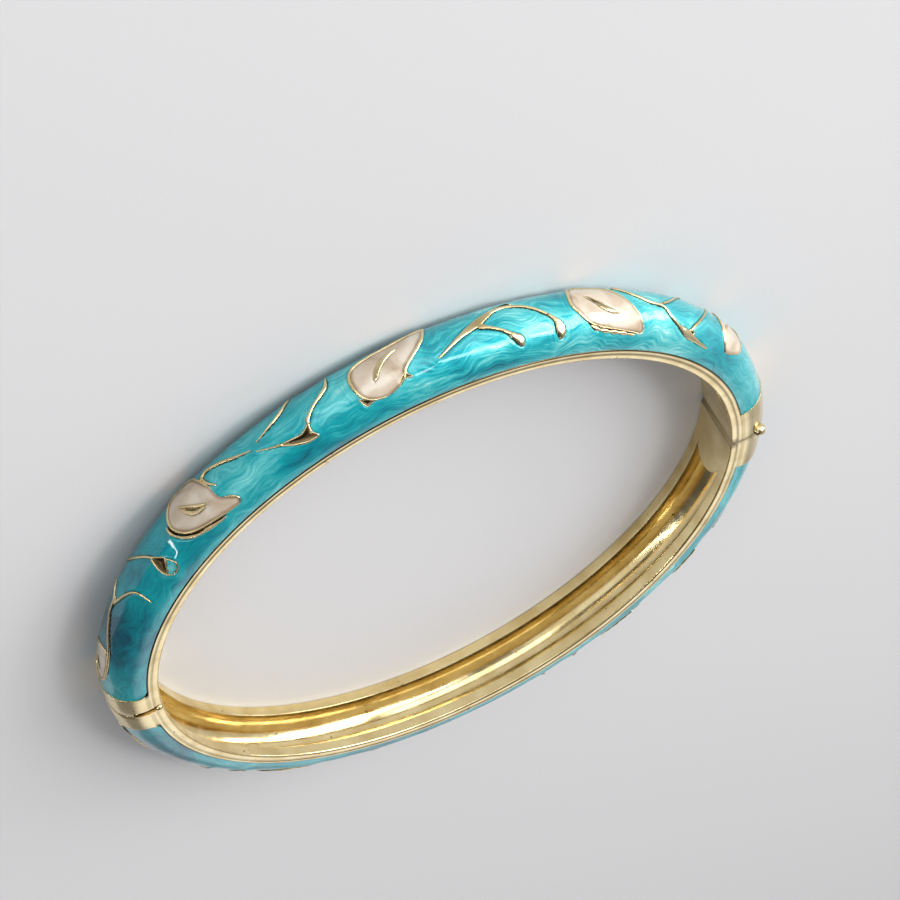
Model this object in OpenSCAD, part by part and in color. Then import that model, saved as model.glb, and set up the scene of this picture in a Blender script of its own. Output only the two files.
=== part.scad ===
// Hinged enamel bangle: two cast half rings, a pinned hinge, a spring tongue clasp and enamel in raised
// cells. It lies on its lower rim. Z is the ring's axis, the hinge is at -X, the clasp at +X, and the
// front half at -Y.

/* [Band] */
// Inside diameter of the closed bangle
inner_d = 60; // [54:0.5:68]
// Width of the band, along the ring's axis
band_w = 6.2; // [5.8:0.1:7]
// Straight depth of the band's sides before the dome starts
side_depth = 1.55; // [1.4:0.05:1.8]
// Depth of the bare metal rim beside the enamel
rim_t = 1.2; // [1:0.05:1.3]
// Bevel on the rim's inner edges
edge_bevel = 0.15; // [0.05:0.05:0.25]
// Radius of the round channel along the back of the band
channel_r = 2.1; // [1.8:0.05:2.2]
// Distance of the channel's centre from the inner face, into the metal
channel_depth = 0.9; // [0.7:0.05:1]

/* [Enamel] */
// Depth of the sunk field that the enamel fills, from the top of the raised lines
field_depth = 0.55; // [0.4:0.05:0.6]
// How far the enamel stays below the top of the raised lines
enamel_sink = 0.1; // [0.05:0.01:0.15]
// Gap all round each piece of enamel
enamel_gap = 0.03; // [0.02:0.01:0.05]
// Bare metal between the clasp joint and the enamel, degrees round the ring
clasp_end = 5.5; // [4:0.5:7]
// Bare metal between the hinge joint and the enamel, degrees round the ring
hinge_end = 9; // [7:0.5:11]

/* [Raised lines] */
// Half the width of a plain raised line at its top
line_half = 0.16; // [0.12:0.01:0.2]
// Half the width of the line round a petal
cell_half = 0.16; // [0.12:0.01:0.2]

/* [Hinge] */
// Distance of the hinge pin from the ring's axis
hinge_r = 33.2; // [27:0.1:38]
// Diameter of the hinge pin
pin_d = 0.8; // [0.6:0.05:1]
// Radial clearance of the pin in the rear half's knuckle
pin_run = 0.04; // [0.01:0.01:0.08]
// Radial clearance of the pin in the front half's knuckles, where it is held
pin_hold = 0.01; // [0.01:0.01:0.02]
// Diameter of the pin's ball head
ball_d = 1.3; // [1:0.05:1.4]
// Diameter of the knuckles
knuckle_d = 2.1; // [1.8:0.1:2.4]
// Height of the rear half's middle knuckle
knuckle_h = 2; // [1.6:0.1:2.4]
// Clearance between knuckles, and between each knuckle and its pocket
knuckle_gap = 0.06; // [0.04:0.01:0.1]
// Angle that the hinge opens to
open_angle = 50; // [30:5:55]
// Bevel on the inner edge of each joint face at the hinge
inner_bevel = 0.4; // [0.2:0.05:0.6]
// Length of the solid block behind the hinge, degrees round the ring
block_angle = 15; // [12:1:18]

/* [Clasp] */
// Place of the clasp joint, degrees from +X towards the rear half
clasp_angle = 3.5; // [0:0.5:4]
// Gap between the two halves at each joint
joint_gap = 0.1; // [0.06:0.02:0.16]
// Thickness of the end wall that the tongue passes through
end_wall = 1; // [0.8:0.1:1.2]
// Length of the tongue past the joint
tongue_len = 3.8; // [3:0.1:4.2]
// Width of the tongue, along the ring's axis
tongue_w = 2.2; // [1.8:0.1:2.4]
// Thickness of the tongue's spring leaves
leaf_t = 0.38; // [0.3:0.02:0.45]
// Clearance round the tongue in the end wall
tongue_gap = 0.3; // [0.25:0.05:0.35]
// Diameter of the thumb tab's bead
bead_d = 0.66; // [0.5:0.02:0.8]

/* [Hidden] */
$fn = 72;
gold = "#dcc48a";
turquoise = "#1aa3b5";
cream = "#dccdb8";

inner_r = inner_d / 2;
mid_z = band_w / 2;
top_r = band_w / 2;
dome_r = inner_r + side_depth;
rim_r = inner_r + rim_t;
field_r = top_r - field_depth;
enamel_r = top_r - enamel_sink;
joint_half = joint_gap / 2 / dome_r * 180 / PI;
far = top_r + 1;
// Gap round the tongue's root and round the pin's head and foot in their seats
seat_gap = 0.03;
// How much narrower the hinge block's round end is than the channel
nose_less = 0.2;
// Extra angle of the room outside the knuckles, past the open angle
open_more = 6;

// Each half is described once, by the angle from the ring's +X axis away from the clasp.
// The front half runs the negative way round and starts before +X, the rear half starts after it.
FRONT = 0;
REAR = 1;
function half_start(half) = half == FRONT ? -clasp_angle : clasp_angle;

// Raised lines: points [ring angle, dome angle, share of a plain line's width].
// The ring angle starts at +X, and the dome angle is 0 at the crown and positive towards the upper rim.
LINES = [
    [[24.7, -9, 1.9], [22.6, -5, 1.2], [19.5, 0, 1], [16.5, 6, 0.9], [13.6, 12, 0.8]],
    [[24.7, -9, 1.9], [26, 2, 1.2], [28.3, 15, 1.1], [29.6, 32, 0.9], [29.3, 46, 0.5]],
    [[31.2, -32, 0.6], [33, -22, 0.9], [34.5, -10, 0.8], [35.8, 6, 1], [37, 26, 2.1],
     [37.6, 40, 2.6], [37.9, 48, 1.2]],
    [[52.2, -24, 1.2], [54.8, -25, 1.1], [57, -12, 1], [60, 6, 1.1], [63.5, 20, 0.9],
     [66.4, 33, 1.2], [68.6, 40, 3.1], [70, 42, 3.1], [71, 46, 0.6]],
    [[69.6, 38, 2.5], [70.4, 24, 1.2], [72.2, 8, 0.9], [74.2, -10, 1.1], [75.6, -32, 0.8],
     [76, -48, 0.5]],
    [[60.8, 8, 0.8], [63.6, -8, 0.9], [66, -26, 0.9], [67.8, -48, 0.5]],
    [[91.2, 27, 0.6], [93.2, 17, 1.1], [95.5, 8, 1.2], [97.6, 2, 1.9], [99.4, -1, 2.6],
     [101.3, -6, 1.6], [104.3, -9.5, 1.1], [107.2, -4, 1], [109, 8, 1], [109.8, 22, 1],
     [110.3, 33, 1.5], [110.9, 44, 2.6], [111.1, 50, 1.2]],
    [[98.8, 2, 1.9], [100.4, 9, 1.4], [101.7, 20, 1], [102.8, 32, 1.2], [103.9, 42, 2.4],
     [104.4, 47, 1.1]],
    [[100.6, -50, 0.5], [101.6, -34, 1], [102.6, -10, 1.2]],
    [[124.2, -38, 1], [127, -20, 0.9], [130.2, -4, 1.1], [132.8, 8, 1.1], [135.2, 26, 1],
     [137.2, 38, 2.1], [139, 46, 2.6], [141, 54, 1.5], [143.2, 61, 0.5]],
    [[132.8, 8, 1], [134.6, -4, 0.8], [137.4, -18, 0.9], [140.6, -34, 0.6]],
    [[138.4, 42, 1], [140.8, 28, 0.9], [144, 6, 0.9], [147.4, -22, 0.6]]
];

// Petal cells: outline points [ring angle, dome angle], and the vein line inside each one
PETALS = [
    [[[4.8, 6], [6.2, 24], [9, 29], [12, 24], [13.9, 10], [14.4, -8], [13, -26], [9.6, -36],
      [6.4, -28], [4.9, -12]],
     [[7.4, 2, 0.5], [9, -4, 0.9], [10.7, -9, 0.5]]],
    [[[43.3, -34], [43.5, -8], [44.1, 20], [45.6, 42], [48.6, 51], [52, 55], [55.6, 57.5],
      [54.9, 40], [54.3, 24], [53.8, 9], [52.6, -8], [51.6, -24], [49.8, -44], [47, -54], [44.4, -50]],
     [[46.6, -9, 0.5], [47.2, 6, 0.9], [48.5, 17, 0.9], [50.6, 21, 0.5]]],
    [[[78.3, -30], [78.1, -8], [78.2, 12], [78.9, 30], [79.7, 41], [82, 43], [84.6, 37], [86.6, 22],
      [88.3, 4], [90, -20], [91.8, -46], [88.5, -60], [84.5, -58], [80.5, -48]],
     [[81.8, 8, 0.9], [82.5, -5, 0.9], [84, -15, 0.8], [86.3, -22, 0.5]]],
    [[[114.2, -36], [113.8, -14], [114.7, 8], [116.4, 28], [118.6, 43], [121.4, 51], [124.4, 56],
      [127.2, 57.5], [127.5, 44], [126.5, 22], [125.6, -4], [124.2, -28], [121.2, -45], [117, -48]],
     [[117.2, -12, 0.5], [118.8, 0, 0.8], [120.6, 13, 0.9], [122.2, 26, 0.5]]],
    [[[146.6, 4], [146.9, 26], [148, 46], [150.4, 50], [152.8, 44], [154.4, 24], [155.3, 0],
      [155, -24], [152.6, -40], [149.4, -34], [147.2, -16]],
     [[149.4, 12, 0.5], [150.4, 0, 0.8], [151.8, -10, 0.5]]]
];

// The rear half's enamel is a little shorter, so its ornament is drawn up towards the hinge
function ring_angle(half, a) =
    let (
        last = 180 - hinge_end,
        room = last - half_start(half) - clasp_end,
        full = last - half_start(FRONT) - clasp_end
    )
    last - (last - a) * room / full;

// A point on the dome seen square to the dome at [a0, p0]: first sideways, then up
function flat_point(half, a, p, a0, p0) =
    let (
        turn = ring_angle(half, a) - ring_angle(half, a0),
        reach = dome_r + top_r * cos(p),
        out = reach * cos(turn) - dome_r,
        up = top_r * sin(p)
    )
    [reach * sin(half == FRONT ? -turn : turn), up * cos(p0) - out * sin(p0)];

// Distances in millimetres over the dome's surface, as [along the ring, round the dome]
function surface_step(a, p, b, q) =
    [(b - a) * (dome_r + top_r * cos((p + q) / 2)) * PI / 180, (q - p) * top_r * PI / 180];
function unit(v) = v / norm(v);
function surface_move(a, p, v) =
    [a + v[0] / (dome_r + top_r * cos(p)) * 180 / PI, p + v[1] / top_r * 180 / PI];

// Direction of a path at point i, and one side of it, moved off by the half width
function path_dir(pts, i) =
    let (b = pts[max(i - 1, 0)], e = pts[min(i + 1, len(pts) - 1)])
    unit(surface_step(b[0], b[1], e[0], e[1]));
function path_side(pts, side, more) = [
    for (i = [0:len(pts) - 1])
        let (d = path_dir(pts, i), w = side * (line_half * pts[i][2] + more))
        surface_move(pts[i][0], pts[i][1], [-d[1] * w, d[0] * w])
];
function path_tip(pts, i, sign, more) =
    let (d = path_dir(pts, i), w = sign * (line_half * pts[i][2] + more))
    surface_move(pts[i][0], pts[i][1], [d[0] * w, d[1] * w]);
function reversed(pts) = [for (i = [len(pts) - 1:-1:0]) pts[i]];
function line_outline(pts, more) = concat(
    path_side(pts, 1, more), [path_tip(pts, len(pts) - 1, 1, more)],
    reversed(path_side(pts, -1, more)), [path_tip(pts, 0, -1, more)]
);

// A closed outline moved outwards by a distance over the surface, with its corners kept
function loop_dir(pts, i) =
    let (b = pts[i % len(pts)], e = pts[(i + 1) % len(pts)])
    unit(surface_step(b[0], b[1], e[0], e[1]));
function loop_corner(pts, i) =
    let (d = loop_dir(pts, i + len(pts) - 1), e = loop_dir(pts, i), n = [d[1] + e[1], -d[0] - e[0]])
    n / max(1 + d * e, 0.3);
function loop_area(pts) =
    let (
        next = [for (i = [1:len(pts)]) pts[i % len(pts)]],
        parts = [for (i = [0:len(pts) - 1]) pts[i][0] * next[i][1] - next[i][0] * pts[i][1]]
    )
    parts * [for (part = parts) 1];
function grown(pts, by) =
    let (s = loop_area(pts) > 0 ? by : -by)
    [for (i = [0:len(pts) - 1]) surface_move(pts[i][0], pts[i][1], s * loop_corner(pts, i))];

function middle(pts, k) = (min([for (p = pts) p[k]]) + max([for (p = pts) p[k]])) / 2;

// A straight-walled block over an outline, square to the dome at the middle of the points named at
module dome_block(half, at, outline, hole = []) {
    a0 = middle(at, 0);
    p0 = middle(at, 1);
    turn = ring_angle(half, a0);
    rotate([0, 0, half == FRONT ? -turn : turn])
        translate([dome_r, 0, mid_z])
            rotate([0, -p0, 0])
                rotate([90, 0, 90])
                    linear_extrude(1.5 * top_r)
                        difference() {
                            polygon([for (q = outline) flat_point(half, q[0], q[1], a0, p0)]);
                            if (len(hole) > 0)
                                polygon([for (q = hole) flat_point(half, q[0], q[1], a0, p0)]);
                        }
}

// A stretch of the ring from angle a to angle b of one half, made by turning a section
module stretch(half, a, b) {
    first = half == FRONT ? -b : a;
    rotate([0, 0, first])
        translate([0, 0, mid_z])
            rotate_extrude(angle = b - a)
                children();
}

// Sections: the dome's outline out to radius r, with and without the straight sides
module dome_section(r) {
    intersection() {
        translate([dome_r, 0])
            circle(r = r);
        translate([inner_r, -far])
            square([2 * far, 2 * far]);
    }
}
module side_section(depth) {
    difference() {
        translate([inner_r, -band_w / 2])
            square([depth, band_w]);
        for (s = [-1, 1])
            translate([inner_r, s * band_w / 2])
                rotate(45)
                    square(edge_bevel * sqrt(2), center = true);
    }
}
module skin_section(low, high, from_r) {
    difference() {
        translate([dome_r, 0])
            circle(r = high);
        translate([dome_r, 0])
            circle(r = low);
        translate([from_r - 3 * far, -2 * far])
            square([3 * far, 4 * far]);
    }
}

// The hollow back of one half, from the clasp's end wall to the hinge block's round end
module channel(half) {
    wall = half == FRONT ? end_wall : end_wall + tongue_root;
    last = 180 - block_angle;
    nose_r = channel_r - nose_less;
    nose_at = last + nose_r / inner_r * 180 / PI;
    difference() {
        stretch(half, half_start(half) + wall / dome_r * 180 / PI, nose_at)
            intersection() {
                translate([inner_r + channel_depth, 0])
                    circle(r = channel_r);
                translate([inner_r - far, -far])
                    square([2 * far, 2 * far]);
            }
        rotate([0, 0, half == FRONT ? -nose_at : nose_at])
            translate([0, 0, mid_z])
                rotate([0, 90, 0])
                    cylinder(r = nose_r, h = dome_r + far);
    }
}

// Everything that stands up from the enamel's floor: lines, petal walls and veins
module relief(half) {
    for (pts = LINES)
        dome_block(half, pts, line_outline(pts, 0));
    for (petal = PETALS) {
        dome_block(half, petal[0], grown(petal[0], cell_half), grown(petal[0], -cell_half));
        dome_block(half, petal[1], line_outline(petal[1], 0));
    }
}

// The sunk field round the dome, which the enamel fills
module field(half) {
    difference() {
        stretch(half, half_start(half) + clasp_end, 180 - hinge_end)
            skin_section(field_r, far, rim_r);
        relief(half);
    }
}

// Hinge: heights along the pin are measured from the middle of the band
module at_hinge(low, high, r) {
    translate([-hinge_r, 0, mid_z + low])
        cylinder(r = r, h = high - low);
}
function knuckle_spans(half) = half == REAR
    ? [[-knuckle_h / 2, knuckle_h / 2]]
    : [[knuckle_h / 2 + knuckle_gap, far], [-far, -knuckle_h / 2 - knuckle_gap]];

// Cuts one half back to its joint face and its knuckles, with room outside them to swing open
module hinge_cut(half) {
    reach = 2 * top_r;
    half_open = (open_angle + open_more) / 2;
    side = half == FRONT ? 1 : -1;
    difference() {
        translate([-hinge_r, 0, mid_z - 2 * far])
            linear_extrude(4 * far)
                polygon([
                    [reach, -side * joint_gap / 2], [0, -side * joint_gap / 2],
                    [-reach, -side * reach * tan(half_open)],
                    [-reach, side * reach], [reach, side * reach]
                ]);
        for (span = knuckle_spans(half))
            at_hinge(span[0], span[1], knuckle_d / 2);
    }
    for (span = knuckle_spans(1 - half))
        at_hinge(span[0] - knuckle_gap, span[1] + knuckle_gap, knuckle_d / 2 + knuckle_gap);
    translate([-inner_r, 0, mid_z])
        rotate([0, 0, 45])
            cube([inner_bevel * sqrt(2), inner_bevel * sqrt(2), 2 * far], center = true);
}

// The pin's ball head lies on the dome above, and its foot is sunk in the dome below
ball_z = sqrt(top_r * top_r - pow(hinge_r - dome_r, 2)) + 0.1;
foot_z = ball_z - 0.5;
foot_d = 1.2;
foot_h = 0.35;
module pin_seats(gap) {
    translate([-hinge_r, 0, mid_z + ball_z])
        sphere(r = ball_d / 2 + gap);
    at_hinge(-far, -foot_z, foot_d / 2 + gap);
}

// Clasp: depth of the thumb tab's slot in each joint face, its height and its reach from the inner face
slot_front = 0.52;
slot_rear = 0.26;
slot_low = 0.6;
slot_reach = 2.9;
// Length of the tongue held in the rear half, the height of its fold, and the thumb tab's thickness
tongue_root = 2.2;
fold_h = 1.3;
tab_t = 0.24;
tab_half = 0.4;
// Places in the tongue are a distance from the hinge pin, and a distance past the joint
tongue_out = hinge_r + inner_r + side_depth + 0.75;
function swing_point(r, s) =
    let (a = asin(inner_r * sin(clasp_angle) / r) - s / r * 180 / PI)
    [r * cos(a) - hinge_r, r * sin(a)];
module swing_box(r_low, r_high, s_low, s_high, half_h) {
    s_mid = (s_low + s_high) / 2;
    translate([0, 0, mid_z - half_h])
        linear_extrude(2 * half_h)
            polygon([
                swing_point(r_low, s_low), swing_point(r_high, s_low), swing_point(r_high, s_mid),
                swing_point(r_high, s_high), swing_point(r_low, s_high), swing_point(r_low, s_mid)
            ]);
}
module at_clasp() {
    rotate([0, 0, clasp_angle])
        translate([0, 0, mid_z])
            children();
}

module tab_slot() {
    at_clasp()
        translate([inner_r - 1, -slot_front, -slot_low])
            cube([slot_reach + 1, slot_front + slot_rear, far + slot_low]);
}

module band(half) {
    difference() {
        stretch(half, half_start(half) + joint_half, 180 + knuckle_d / hinge_r * 180 / PI)
            union() {
                dome_section(top_r);
                side_section(side_depth);
            }
        field(half);
        channel(half);
        hinge_cut(half);
        pin_seats(seat_gap);
        tab_slot();
    }
}

module front_band() {
    color(gold)
        difference() {
            band(FRONT);
            at_hinge(-far, far, pin_d / 2 + pin_hold);
            swing_box(
                tongue_out - fold_h - tongue_gap, tongue_out + tongue_gap,
                -end_wall, 2.5 * end_wall, tongue_w / 2 + tongue_gap
            );
        }
}

module rear_band() {
    color(gold)
        difference() {
            band(REAR);
            at_hinge(-far, far, pin_d / 2 + pin_run);
            swing_box(
                tongue_out - leaf_t - seat_gap, tongue_out + seat_gap,
                -tongue_root - seat_gap, end_wall, tongue_w / 2 + seat_gap
            );
        }
}

module enamel(half) {
    gap_angle = enamel_gap / dome_r * 180 / PI;
    color(turquoise)
        difference() {
            stretch(half, half_start(half) + clasp_end + gap_angle, 180 - hinge_end - gap_angle)
                skin_section(field_r + enamel_gap, enamel_r, rim_r + enamel_gap);
            for (pts = LINES)
                dome_block(half, pts, line_outline(pts, enamel_gap));
            for (petal = PETALS)
                dome_block(half, petal[0], grown(petal[0], cell_half + enamel_gap));
        }
}

// Half of the ring angle that holds any one petal
petal_span = 10;
module petal(half, number) {
    outline = PETALS[number - 1][0];
    vein = PETALS[number - 1][1];
    centre = ring_angle(half, middle(outline, 0));
    color(cream)
        difference() {
            intersection() {
                stretch(half, centre - petal_span, centre + petal_span)
                    skin_section(field_r + enamel_gap, enamel_r, rim_r + enamel_gap);
                dome_block(half, outline, grown(outline, -cell_half - enamel_gap));
            }
            dome_block(half, vein, line_outline(vein, enamel_gap));
        }
}

module hinge_pin() {
    color(gold) {
        at_hinge(-foot_z - foot_h / 2, ball_z, pin_d / 2);
        translate([-hinge_r, 0, mid_z + ball_z])
            sphere(r = ball_d / 2);
        at_hinge(-foot_z - foot_h, -foot_z, foot_d / 2);
    }
}

// A strip folded to a V, whose inner leaf carries the thumb tab and its bead
module clasp_tongue() {
    tab_x = inner_r + 0.42;
    tab_y = (slot_rear - slot_front) / 2;
    bead_z = top_r - 0.15;
    inner_leaf = tongue_out - fold_h;
    color(gold) {
        swing_box(tongue_out - leaf_t, tongue_out, -tongue_root, tongue_len, tongue_w / 2);
        swing_box(inner_leaf, tongue_out, tongue_len - leaf_t, tongue_len, tongue_w / 2);
        swing_box(inner_leaf, inner_leaf + leaf_t, end_wall - seat_gap, tongue_len, tongue_w / 2);
        swing_box(inner_leaf, inner_leaf + leaf_t, 0, tongue_len, tab_half);
        at_clasp() {
            translate([tab_x - tab_half / 2, tab_y - tab_t / 2, -tab_half])
                cube([3 * tab_half, tab_t, 2 * tab_half]);
            translate([tab_x - tab_half / 2, tab_y - tab_t / 2, -tab_half])
                cube([tab_half, tab_t, bead_z + tab_half]);
            translate([tab_x, tab_y, bead_z])
                sphere(r = bead_d / 2);
        }
    }
}

front_band();
rear_band();
enamel(FRONT);  // front_enamel
enamel(REAR);  // rear_enamel
petal(FRONT, 1);  // front_petal_1
petal(FRONT, 2);  // front_petal_2
petal(FRONT, 3);  // front_petal_3
petal(FRONT, 4);  // front_petal_4
petal(FRONT, 5);  // front_petal_5
petal(REAR, 1);  // rear_petal_1
petal(REAR, 2);  // rear_petal_2
petal(REAR, 3);  // rear_petal_3
petal(REAR, 4);  // rear_petal_4
petal(REAR, 5);  // rear_petal_5
hinge_pin();
clasp_tongue();
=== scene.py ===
import math

import bmesh
import bpy
import numpy as np
from bpy.props import FloatProperty, FloatVectorProperty, PointerProperty
from mathutils import Matrix, Vector, geometry


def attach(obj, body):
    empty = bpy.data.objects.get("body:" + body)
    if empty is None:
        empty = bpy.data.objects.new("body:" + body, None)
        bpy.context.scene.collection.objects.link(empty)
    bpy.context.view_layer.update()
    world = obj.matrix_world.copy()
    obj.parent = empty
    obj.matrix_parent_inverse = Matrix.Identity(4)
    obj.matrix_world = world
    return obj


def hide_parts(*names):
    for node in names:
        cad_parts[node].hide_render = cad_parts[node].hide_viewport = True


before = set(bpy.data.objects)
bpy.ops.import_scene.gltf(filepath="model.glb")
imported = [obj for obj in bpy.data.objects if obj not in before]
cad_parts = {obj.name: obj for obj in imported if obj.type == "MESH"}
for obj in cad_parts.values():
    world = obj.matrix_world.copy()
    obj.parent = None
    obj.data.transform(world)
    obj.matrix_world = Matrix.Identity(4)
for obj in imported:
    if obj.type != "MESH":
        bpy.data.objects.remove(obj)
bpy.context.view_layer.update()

bl_info = {
    "name": "Hinged enamel bangle",
    "version": (1, 0, 0),
    "blender": (4, 5, 0),
    "location": "3D View > Sidebar > Bangle",
    "description": "Builds the visual pieces of a hinged enamel bangle on its CAD frame",
    "category": "Object",
}

MM = 0.001

# Each half is described by the ring angle from +X, away from the clasp. The front half turns the negative way.
TURNS = {"front": -1, "rear": 1}
# Ring angles in degrees: the clasp joint, half of its gap, the enamel's start after it, and the enamel's end
CLASP_ANGLE = 3.5
JOINT_HALF = 0.09
ENAMEL_FROM_CLASP = 5.5
ENAMEL_LAST = 171.0
# Where the channel at the back starts to close, where it is closed, and where the sweep ends inside the hinge
NOSE, NOSE_END, SWEEP_END = 165.0, 169.6, 188.0
# The hinge pin's distance from the ring's axis, the slant in degrees of the joint's back face, the pin's ball head
HINGE_PLACE = 33.2 * MM
OPEN_HALF = 28.0
BALL_RADIUS = 0.65 * MM
# How far the tongue's outer leaf lies from the hinge pin, in mm
TONGUE_OUT = 65.5
# How far tools for cutting reach past the band
PAST = 8 * MM
# Edges of petals and of hollows, as shares of a plain line's width
PETAL_EDGE = 0.8
HOLLOW_EDGE = 0.5
# Distances to lines are measured up to here, in mm
FAR = 4.0
# The enamel lies clear of the metal beside it, in m, and of the ends of its recess, in degrees
CLEAR = 0.03 * MM
ENAMEL_IN = 0.06
# The halves take different parts of the enamel's pattern, this far apart in mm
APART = {"front": 0, "rear": 140}

# Raised lines. Each point is (ring angle, dome angle, share of a plain line's width, how hollow it is).
# The last two may be left out: a plain line has width 1 and isn't hollow, and a hollow of 2 is painted dark all over as
# shade.
# Angles are in degrees. A line thinner than about 0.3 sinks under the enamel.
LINES = (
    # from the first node down beside the end petal, the node's arc, and its upper end
    ((25, -7, 1.2), (22.6, -4), (20.6, 3), (18.4, 10.5), (16.2, 17), (14.6, 21), (11.5, 23.5, 0.9), (7.6, 21, 0.6)),
    ((25, -3, 1.2), (26.2, 3.5), (28.2, 11.5, 0.9), (29.9, 22, 0.8), (30.6, 35, 0.65), (30.4, 48, 0.5),
     (30.2, 57, 0.3)),
    ((25, -3.5, 1.2), (25.7, -13, 0.9), (26.3, -21, 0.8), (27, -34, 0.6)),
    # the line to the first hollow, and the edge of the round cell beside it
    ((30.9, -41, 0.6), (32.6, -27, 0.8), (34.3, -14.5, 0.8), (36.5, 4, 0.8), (37.5, 15.5, 0.8)),
    ((39.1, 35, 0.45), (39.5, 42.5, 0.42), (39.6, 53, 0.42), (38.8, 61, 0.45), (37.5, 62.5, 0.45), (36.8, 55, 0.4)),
    # the second petal's outer ridge, the painted shadow in the gap inside it, the line on from its corner, and its
    # vein's lower edge
    ((42.8, 1, 0.4), (43, 16.5, 0.9), (43.8, 31, 0.8), (45, 43, 1.1), (46.5, 50.8, 0.8), (48.2, 55.3, 1.2),
     (49.7, 59, 0.8), (51.3, 62, 0.4)),
    ((43.2, 3, 0.4, 2), (43.5, 17, 0.6, 2), (44.4, 30.5, 0.6, 2), (45.5, 39.8, 0.6, 2), (46.9, 47.5, 0.6, 2),
     (48.6, 52.8, 0.6, 2), (50.1, 56.2, 0.6, 2), (51.6, 59, 0.4, 2)),
    ((52.1, -19.5, 0.9), (52.6, -4.5, 0.8), (53.7, 10.5, 0.5)),
    ((46.6, -3, 0.5), (47.1, 7.5, 0.8), (47.9, 18.8, 0.9), (48.9, 24, 0.8), (50.4, 26, 0.5)),
    # the long line, which fades and comes back before the second hollow, and the lines that meet it
    ((52, -17, 0.9), (52.3, -22, 1.1), (53, -25.5, 1.1), (54, -24.5), (55.6, -18.5), (57.2, -11), (58.6, -4.5, 0.9),
     (59.8, -0.5, 0.6), (61, 3.5, 0.3)),
    ((61.7, 10.7, 0.3), (63.7, 20.5, 0.5), (65.3, 27, 0.8)),
    ((70.3, 21.4, 0.9), (70.7, 15), (71.5, 7.5, 0.8), (72.5, 0, 0.8), (73.5, -6.5), (74.4, -13, 1.1),
     (75, -19.5, 1.1), (75.3, -30, 0.9), (75.5, -44, 0.5)),
    ((69.2, -48.6, 0.6), (68.2, -34, 0.9), (67.3, -25), (66.1, -17, 0.9), (64.9, -11.5, 0.8), (63.7, -7, 0.5),
     (62.4, -3, 0.3)),
    # the flat node and its branches, two of them with drops
    ((91.3, 28.3, 0.5), (93.4, 17.8, 0.9), (95.4, 8, 1.3), (97.2, 0, 1.9, 0.2), (98.7, -6, 2.4, 0.3),
     (100.2, -14, 2, 0.2), (101.6, -21, 1.3), (103, -24.5, 1.1), (104.4, -23), (106.2, -15.5), (107.9, -3),
     (109.3, 10.5), (110.2, 20, 1.2), (110.8, 29, 2.2), (111, 37.5, 2.9), (111.1, 44.5, 3), (111.1, 51.5, 2.2),
     (111, 55, 1.2)),
    ((98.9, 2, 1.8, 0.2), (100.1, 9.5, 1.1), (101.4, 17.5), (102.6, 27.3, 1.2), (103.2, 34, 2), (103.8, 40.5, 2.7),
     (104.1, 46, 2.5), (104.3, 51, 1.4)),
    ((102.2, -27, 0.6), (103.4, -30, 0.9, 2), (104.7, -32, 0.8, 2), (105.1, -29, 0.5)),
    # the lumpy cast ridge under the fourth petal, and the painted shadow in the gap inside it
    ((116.6, 44, 0.5), (117.4, 49, 1.3), (118.2, 52, 0.7), (119.2, 54.5, 1.3), (120, 56.2, 0.7), (121, 57.8, 1.3),
     (122, 59.2, 0.7), (123, 60.6, 1.2), (124, 62.2, 0.6), (125.2, 64, 0.8)),
    ((116.2, 38.5, 0.4, 2), (117.5, 45.5, 0.6, 2), (119.2, 51, 0.65, 2), (121.2, 54.8, 0.65, 2), (123.2, 58, 0.5, 2),
     (124.8, 60.5, 0.4, 2)),
    # the leaf past it, with its branches
    ((124.1, -34, 0.9), (126.6, -12.5), (129.4, 4, 1.1), (131.4, 8.2), (132.4, 13, 0.9), (132.8, 20, 0.8),
     (133.6, 30, 0.8), (134.9, 39.7), (136, 45, 1.6), (136.9, 49, 2.3), (138, 52.5, 2.5), (139.1, 56, 2),
     (140.6, 59.4, 1.4), (142.1, 62.5), (144.1, 65.1, 0.6)),
    ((131.4, 8.2), (132.6, 3, 0.8), (134, -2, 0.8), (136.6, -16, 0.7), (139.9, -34, 0.6)),
    ((138.6, 44, 0.9), (139.1, 37.8, 0.9), (141.1, 22, 0.8), (144.3, -4, 0.7), (146.5, -24, 0.6)),
)

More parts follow.
